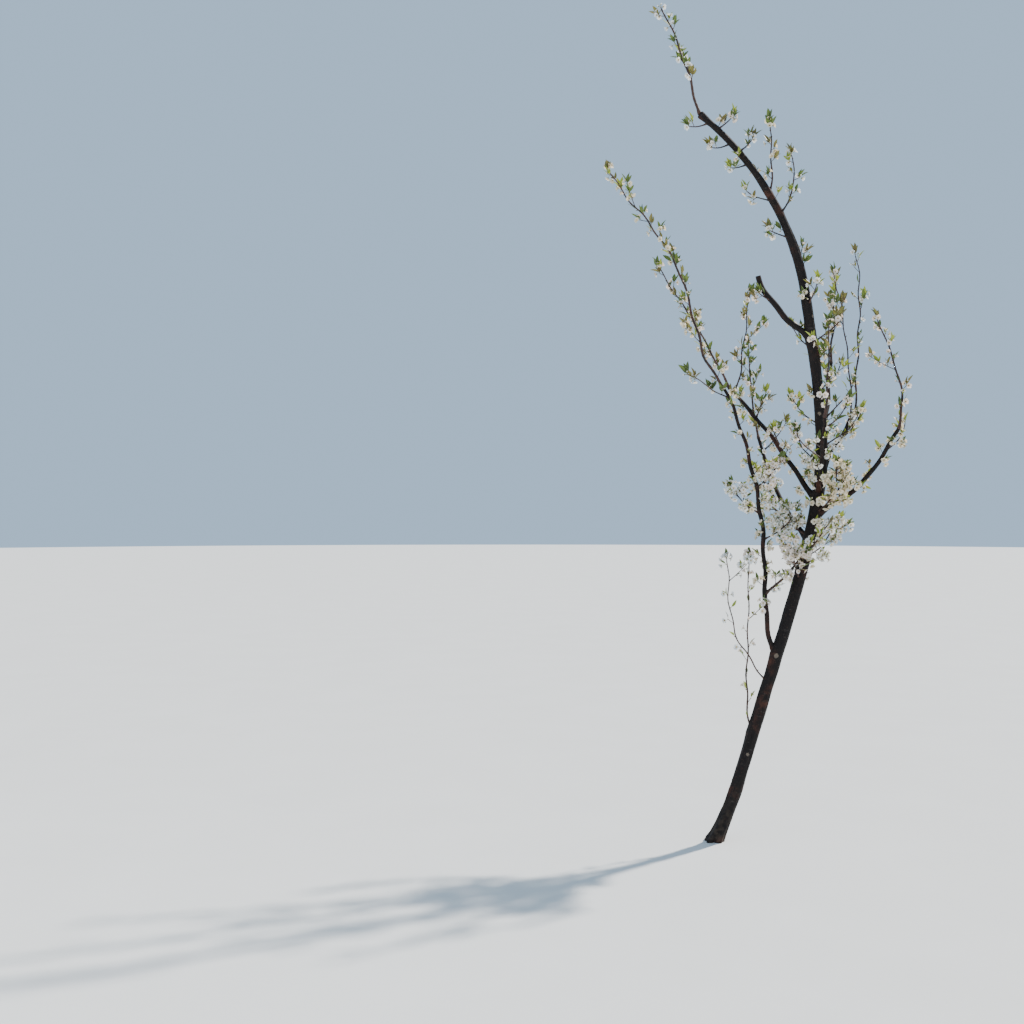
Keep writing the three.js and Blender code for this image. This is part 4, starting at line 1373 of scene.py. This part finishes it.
thread_finish = plain_finish("stamen_thread", (0.80, 0.81, 0.66), (0.74, 0.74, 0.55), 0.5)
anther_finish = plain_finish("anther", (0.62, 0.40, 0.12), (0.50, 0.27, 0.08), 0.6)
THREAD_RADIUS, ANTHER_LENGTH, ANTHER_RADIUS = 0.3, 2.2, 1.0
roots, tips, ways = (v.reshape(-1, 3) for v in (thread_root, thread_tip, thread_way))
points, faces = needles(roots, tips, THREAD_RADIUS)
make_piece("stamen_threads", points, [faces], [thread_finish], [], smooth=False)
points, faces = beads(tips, ways, ANTHER_LENGTH, ANTHER_RADIUS)
make_piece("anthers", points, [faces], [anther_finish], [])

# %% [markdown]
# ## Stalks, cups and sepals
#
# The stalk droops a little under its flower and runs into a green cup, which five narrow
# sepals fold back from. The cup is a profile turned round the flower's axis, five-sided.

# %% Stalks and cups
STALK_RADII, STALK_SAG, STALK_END = np.array([0.8, 0.65, 0.9]), 0.10, 0.4
CUP_PROFILE = np.array([[0.8, 0.0], [2.1, 1.9], [2.0, 4.4]])
STALK_COLUMNS, CUP_COLUMNS = 3, 5
share = np.linspace(0, 1, len(STALK_RADII))[None, :, None]
sag = UP * (-STALK_SAG * stalk_length[:, None, None]) * (4 * share * (1 - share))
stalk_end = blossom_place + facing * STALK_END
stalk_paths = stalk_root[:, None] * (1 - share) + stalk_end[:, None] * share + sag
stalk_radii = np.broadcast_to(STALK_RADII, (blossom_total, len(STALK_RADII)))
stalk_finish = plain_finish("stalk_green", (0.24, 0.33, 0.08), (0.33, 0.24, 0.09), 0.5, 180.0)
points, faces = many_tubes(stalk_paths, stalk_radii, STALK_COLUMNS)
make_piece("stalks", points, faces, [stalk_finish], [])
cup_paths = blossom_place[:, None] + facing[:, None] * CUP_PROFILE[:, 1:]
cup_radii = np.broadcast_to(CUP_PROFILE[:, 0], (blossom_total, len(CUP_PROFILE)))
cups = many_tubes(cup_paths, cup_radii, CUP_COLUMNS)

# %% Sepals, each row by how far out, how far up and half how wide it is
SEPALS, SEPAL_PROFILE = 5, [(1.7, 4.2, 1.1), (4.3, 3.2, 1.0), (5.3, 0.8, 0.2)]
turn = 2 * np.pi * (np.arange(SEPALS) + 0.5) / SEPALS
centre, ahead, across, aside = (
    v[:, None] for v in (blossom_place, facing, face_across, face_aside)
)
radial, tangent = turned(across, aside, turn), turned(aside, -across, turn)
sepal_grid = np.stack([
    centre + radial * out + ahead * up + tangent * half * side
    for out, up, half in SEPAL_PROFILE for side in (-1, 1)
], axis=2)
sepal_faces = sheet_faces(blossom_total * SEPALS, len(SEPAL_PROFILE), 2)
cup_finish = plain_finish("cup_green", (0.15, 0.22, 0.045), (0.24, 0.12, 0.05), 0.5, 180.0)
points, faces = join_copies([cups, (sepal_grid.reshape(-1, 3), [sepal_faces])])
make_piece("cups_and_sepals", points, faces, [cup_finish], [])

# %% [markdown]
# ## Young leaves
#
# The leaves have just unrolled: short, pointed, folded along the midrib and still standing
# up round the tip they came from. A leaf is a sheet five faces long and two wide. Its outline
# is a list of half widths, the fold lifts its sides, and it curls back along its length.

# %% Where the leaves grow
LEAF_HEIGHTS = [500, 1300, 2200, 2500, 4400]
LEAF_COUNTS = [2.4, 2.6, 2.8, 4.6, 4.8]
TIP_LEAVES, LEAFY_LEAVES, LEAF_DRIFT, MOST_LEAVES = 2.2, 2.4, 0.9, 7
CROWN_HEIGHTS, CROWN_LIFTS, CROWN_GROWTH = [1900, 2500], [0.75, 1.15], [1.0, 1.15]
WEAK_LIFT, LEAF_ANGLE_DRIFT, LEAST_ANGLE, MOST_ANGLE, LEAF_TURN = 0.1, 9, 6, 84, 201.0
TIP_ANGLE, TIP_OPENING, SIDE_ANGLE, SIDE_OPENING = 14.0, 8.0, 38.0, 7.0
at_tip = seats.wood == TIP_WOOD
leafy = np.isin(seats.limb, [limbs[name].seed for name in leafy_nodes])
wanted = np.interp(spur_tip[:, 2], LEAF_HEIGHTS, LEAF_COUNTS)
wanted = wanted * np.minimum(seats.strong + WEAK_LIFT, 1)
wanted = wanted + TIP_LEAVES * at_tip + LEAFY_LEAVES * leafy
leaf_bearer, rank = repeat_for(drawn_counts(wanted, LEAF_DRIFT, MOST_LEAVES))
angle = np.where(
    at_tip[leaf_bearer], TIP_ANGLE + TIP_OPENING * rank, SIDE_ANGLE + SIDE_OPENING * rank
)
angle = angle + rng.uniform(-LEAF_ANGLE_DRIFT, LEAF_ANGLE_DRIFT, len(rank))
angle = np.clip(angle, LEAST_ANGLE, MOST_ANGLE)
leaf_way = leaving(seats.way[leaf_bearer], GOLDEN * rank + LEAF_TURN * leaf_bearer, angle)
lift = np.interp(spur_tip[leaf_bearer, 2], CROWN_HEIGHTS, CROWN_LIFTS)
leaf_way = unit(leaf_way + lift[:, None] * UP)
print("leaves to place:", len(rank))

# %% Leaves that have room
LEAF_LENGTHS, TIP_GROWTH, LEAFY_GROWTH = (32, 58), 1.1, 1.15
LEAF_TIP_ROOM, LEAF_MIDDLE_ROOM = (5.0, 7.0, 4), (3.0, 7.0, 4)
leaf_length = rng.uniform(*LEAF_LENGTHS, len(rank)) * np.where(at_tip[leaf_bearer], TIP_GROWTH, 1.0)
leaf_length *= np.interp(spur_tip[leaf_bearer, 2], CROWN_HEIGHTS, CROWN_GROWTH)
leaf_length *= np.where(leafy[leaf_bearer], LEAFY_GROWTH, 1.0)
leaf_root = spur_tip[leaf_bearer] - seats.way[leaf_bearer] * BEHIND_TIP
reach = leaf_way * leaf_length[:, None]
free = has_room(leaf_root + reach, seats.limb[leaf_bearer], *LEAF_TIP_ROOM)
free &= has_room(leaf_root + reach * 0.5, seats.limb[leaf_bearer], *LEAF_MIDDLE_ROOM)
leaf_bearer, leaf_way, leaf_length, leaf_root = (
    values[free] for values in (leaf_bearer, leaf_way, leaf_length, leaf_root)
)
print("leaves:", len(leaf_way))

# %% Leaf surfaces
LEAF_ROWS = np.array([0.0, 0.12, 0.32, 0.56, 0.80, 1.0])
LEAF_WIDTHS = np.array([0.05, 0.09, 0.80, 1.0, 0.62, 0.03])
HALF_WIDTH, LEAF_FOLDS, LEAF_CURLS, ROLL_DRIFT = 0.18, (12, 48), (-0.05, 0.28), 0.45


def leaf_points():
    """P = root + L u way + curl + v w(u) (side cos f + |v| face sin f): the half width w is a
    share of the length L times the outline, f is the fold, and the curl grows with u^2."""
    total = len(leaf_way)
    side = square_to(leaf_way, np.cross(leaf_way, UP) + rng.normal(0, ROLL_DRIFT, (total, 3)))
    face = np.cross(side, leaf_way)
    fold = np.radians(rng.uniform(*LEAF_FOLDS, total))[:, None, None, None]
    curl = rng.uniform(*LEAF_CURLS, total)[:, None, None, None]
    u = LEAF_ROWS[None, :, None, None]
    v = np.array([-1.0, 0.0, 1.0])[None, None, :, None]
    length = leaf_length[:, None, None, None]
    width = HALF_WIDTH * length * LEAF_WIDTHS[None, :, None, None]
    root, way, side, face = (a[:, None, None] for a in (leaf_root, leaf_way, side, face))
    points = root + way * (u * length) - face * (curl * length * u**2)
    return points + side * (v * width * np.cos(fold)) + face * (np.abs(v) * width * np.sin(fold))


print("rows of points on a leaf:", len(LEAF_ROWS))

# %% The greens
LEAF_ROUGHNESS, LEAF_SCALE, LEAF_THROUGH = 0.38, 120.0, 0.28
# Painted shade: high in the crown fewer of the light greens and more of the dark mid and bronze ones are
# dealt, so the upper crown reads as lit from behind; the dark leaf_mid green is partly painted shade too.
FRESH_SHARES_SHADED_HIGH, MID_SHARE, GREEN_SEED = [0.42, 0.20], 0.46, 5
GREENS = {
    "leaf_fresh": ((0.18, 0.24, 0.020), (0.30, 0.35, 0.040)),
    "leaf_mid": ((0.058, 0.095, 0.014), (0.105, 0.15, 0.024)),
    "leaf_bronze": ((0.19, 0.125, 0.040), (0.14, 0.15, 0.032)),
}
greens = [
    plain_finish(name, *tints, LEAF_ROUGHNESS, LEAF_SCALE, LEAF_THROUGH)
    for name, tints in GREENS.items()
]
# Painted shade: the share of the lightest green falls between the two crown heights.
fresh_share_shaded_high = np.interp(spur_tip[:, 2], CROWN_HEIGHTS, FRESH_SHARES_SHADED_HIGH)
draw = np.random.default_rng(GREEN_SEED).uniform(0, 1, len(spur_tip))
green = (draw > fresh_share_shaded_high).astype(int) + (draw > fresh_share_shaded_high + MID_SHARE)
points, faces = leaf_points().reshape(-1, 3), sheet_faces(len(leaf_way), len(LEAF_ROWS), 3)
shades = np.repeat(green[leaf_bearer], (len(LEAF_ROWS) - 1) * 2)
make_piece("young_leaves", points, [faces], greens, leafy_nodes, shades)

# %% [markdown]
# ## Buds and bud scales
#
# Brown scales stay at the foot of every cluster, and all but the shortest stems are also set
# with small pointed buds that stay shut. Both are short tubes with a bellied profile.

# %% Scales round the clusters
SCALE_PROFILE = np.array([[1.3, -1.5], [2.5, 0.6], [2.7, 2.6], [1.5, 4.6]])
BUD_COLUMNS = 5
scale_paths = spur_tip[:, None] + seats.way[:, None] * SCALE_PROFILE[:, 1:]
scale_radii = SCALE_PROFILE[:, 0] * rng.uniform(0.75, 1.15, (len(spur_tip), 1))
scales = many_tubes(scale_paths, scale_radii, BUD_COLUMNS)
print("clusters with scales:", len(scale_paths))

# %% Buds along the stems
BUD_PROFILE = np.array([[1.0, 0.0], [1.8, 1.8], [1.7, 4.0], [0.6, 6.6]])
BUDDED_REACH, FIRST_BUD, LAST_BUD, BUD_SPACING = 240, 40, 15, 34.0
BUD_ANGLE, BUD_TURN = 38.0, 70.0
bud_root, bud_way = [], []
for limb in stems:
    if limb.reach < BUDDED_REACH:
        continue
    walked = np.arange(FIRST_BUD + limb.bearer_radius, limb.reach - LAST_BUD, BUD_SPACING)
    place, along, _, _, radius = axis_at(limb, walked)
    way = leaving(along, SPUR_TURN * np.arange(len(walked)) + BUD_TURN, BUD_ANGLE)
    bud_root.append(place + way * radius[:, None])
    bud_way.append(way)
bud_root, bud_way = np.concatenate(bud_root), np.concatenate(bud_way)
bud_paths = bud_root[:, None] + bud_way[:, None] * BUD_PROFILE[:, 1:]
bud_radii = np.broadcast_to(BUD_PROFILE[:, 0], (len(bud_root), len(BUD_PROFILE)))
buds = many_tubes(bud_paths, bud_radii, BUD_COLUMNS)
scale_finish = plain_finish("bud_scale", (0.13, 0.060, 0.026), (0.25, 0.125, 0.05), 0.55, 260.0)
points, faces = join_copies([scales, buds])
make_piece("buds_and_scales", points, faces, [scale_finish], [])
print("triangles in all:", sum(count for _, count in pieces))

# %% [markdown]
# ## The setting
#
# The tree stands alone on a plain pale floor. The camera is level at head height and stands
# to the tree's left, so that the trunk's foot is low on the right of the picture and the whip
# reaches its top edge. Light comes from the upper right and a little behind, as in the open,
# and is softened by a large pale panel on the near side.

# %% Floor and air
FLOOR_RADIUS, FLOOR_SIDES, FLOOR_LEVEL = 60.0, 96, -0.0005
FLOOR_DARK, FLOOR_PALE = (0.60, 0.60, 0.585), (0.66, 0.66, 0.65)
SKY, SKY_STRENGTH = (0.50, 0.71, 0.95, 1.0), 0.9


def floor_finish():
    """Pale, matt and faintly mottled."""
    finish = Finish("pale_floor")
    place = finish.node("ShaderNodeTexCoord", output=3)
    tint = finish.blend(finish.noise(place, 1.6, 4.0), FLOOR_DARK, FLOOR_PALE)
    sockets = {"Base Color": tint, "Roughness": 0.9}
    return finish.end(finish.node("ShaderNodeBsdfPrincipled", {}, sockets))


turn = np.linspace(0, 2 * np.pi, FLOOR_SIDES, endpoint=False)
level = np.full(FLOOR_SIDES, FLOOR_LEVEL)
rim = np.stack([FLOOR_RADIUS * np.cos(turn), FLOOR_RADIUS * np.sin(turn), level], -1)
floor_mesh = bpy.data.meshes.new("floor")
floor_mesh.from_pydata(rim.tolist(), [], [list(range(FLOOR_SIDES))])
floor_mesh.materials.append(floor_finish())
floor = bpy.data.objects.new("floor", floor_mesh)
bpy.context.scene.collection.objects.link(floor)

world = bpy.data.worlds.new("soft_sky")
world.use_nodes = True
background = world.node_tree.nodes["Background"].inputs
background["Color"].default_value = SKY
background["Strength"].default_value = SKY_STRENGTH
bpy.context.scene.world = world
print("floor radius in metres:", FLOOR_RADIUS)


# %% Lights
def add_light(name, kind, place, towards, energy, tint, **settings):
    """A light at a place in metres that shines towards another."""
    light = bpy.data.lights.new(name, kind)
    light.energy, light.color = energy, tint
    for key, value in settings.items():
        setattr(light, key, value)
    lamp = bpy.data.objects.new(name, light)
    lamp.location = place
    way = Vector(towards) - Vector(place)
    lamp.rotation_euler = way.to_track_quat("-Z", "Y").to_euler()
    bpy.context.scene.collection.objects.link(lamp)


add_light("sun", "SUN", (5.0, 3.0, 7.5), (0, 0, 1.5), 8.0, (1.0, 0.95, 0.88), angle=0.04)
add_light("near_panel", "AREA", (-4.5, -5.0, 4.0), (0, 0, 2.0), 120, (0.95, 0.97, 1.0), size=4.0)
print("lights: a sun halfway up the sky and one soft panel")

# %% The camera
CAMERA_PLACE = (-1.089, -6.6, 1.765)
SENSOR, FOCAL_LENGTH, PICTURE_WIDTH = 36.0, 43.24, 1024
lens = bpy.data.cameras.new("view_from_the_row")
lens.sensor_width, lens.lens = SENSOR, FOCAL_LENGTH
camera = bpy.data.objects.new("view_from_the_row", lens)
camera.location = CAMERA_PLACE
camera.rotation_euler = (np.pi / 2, 0, 0)
bpy.context.scene.collection.objects.link(camera)
bpy.context.scene.camera = camera
pixel = -CAMERA_PLACE[1] / METRES * SENSOR / FOCAL_LENGTH / PICTURE_WIDTH
print("millimetres to a pixel at the tree:", round(pixel, 2))
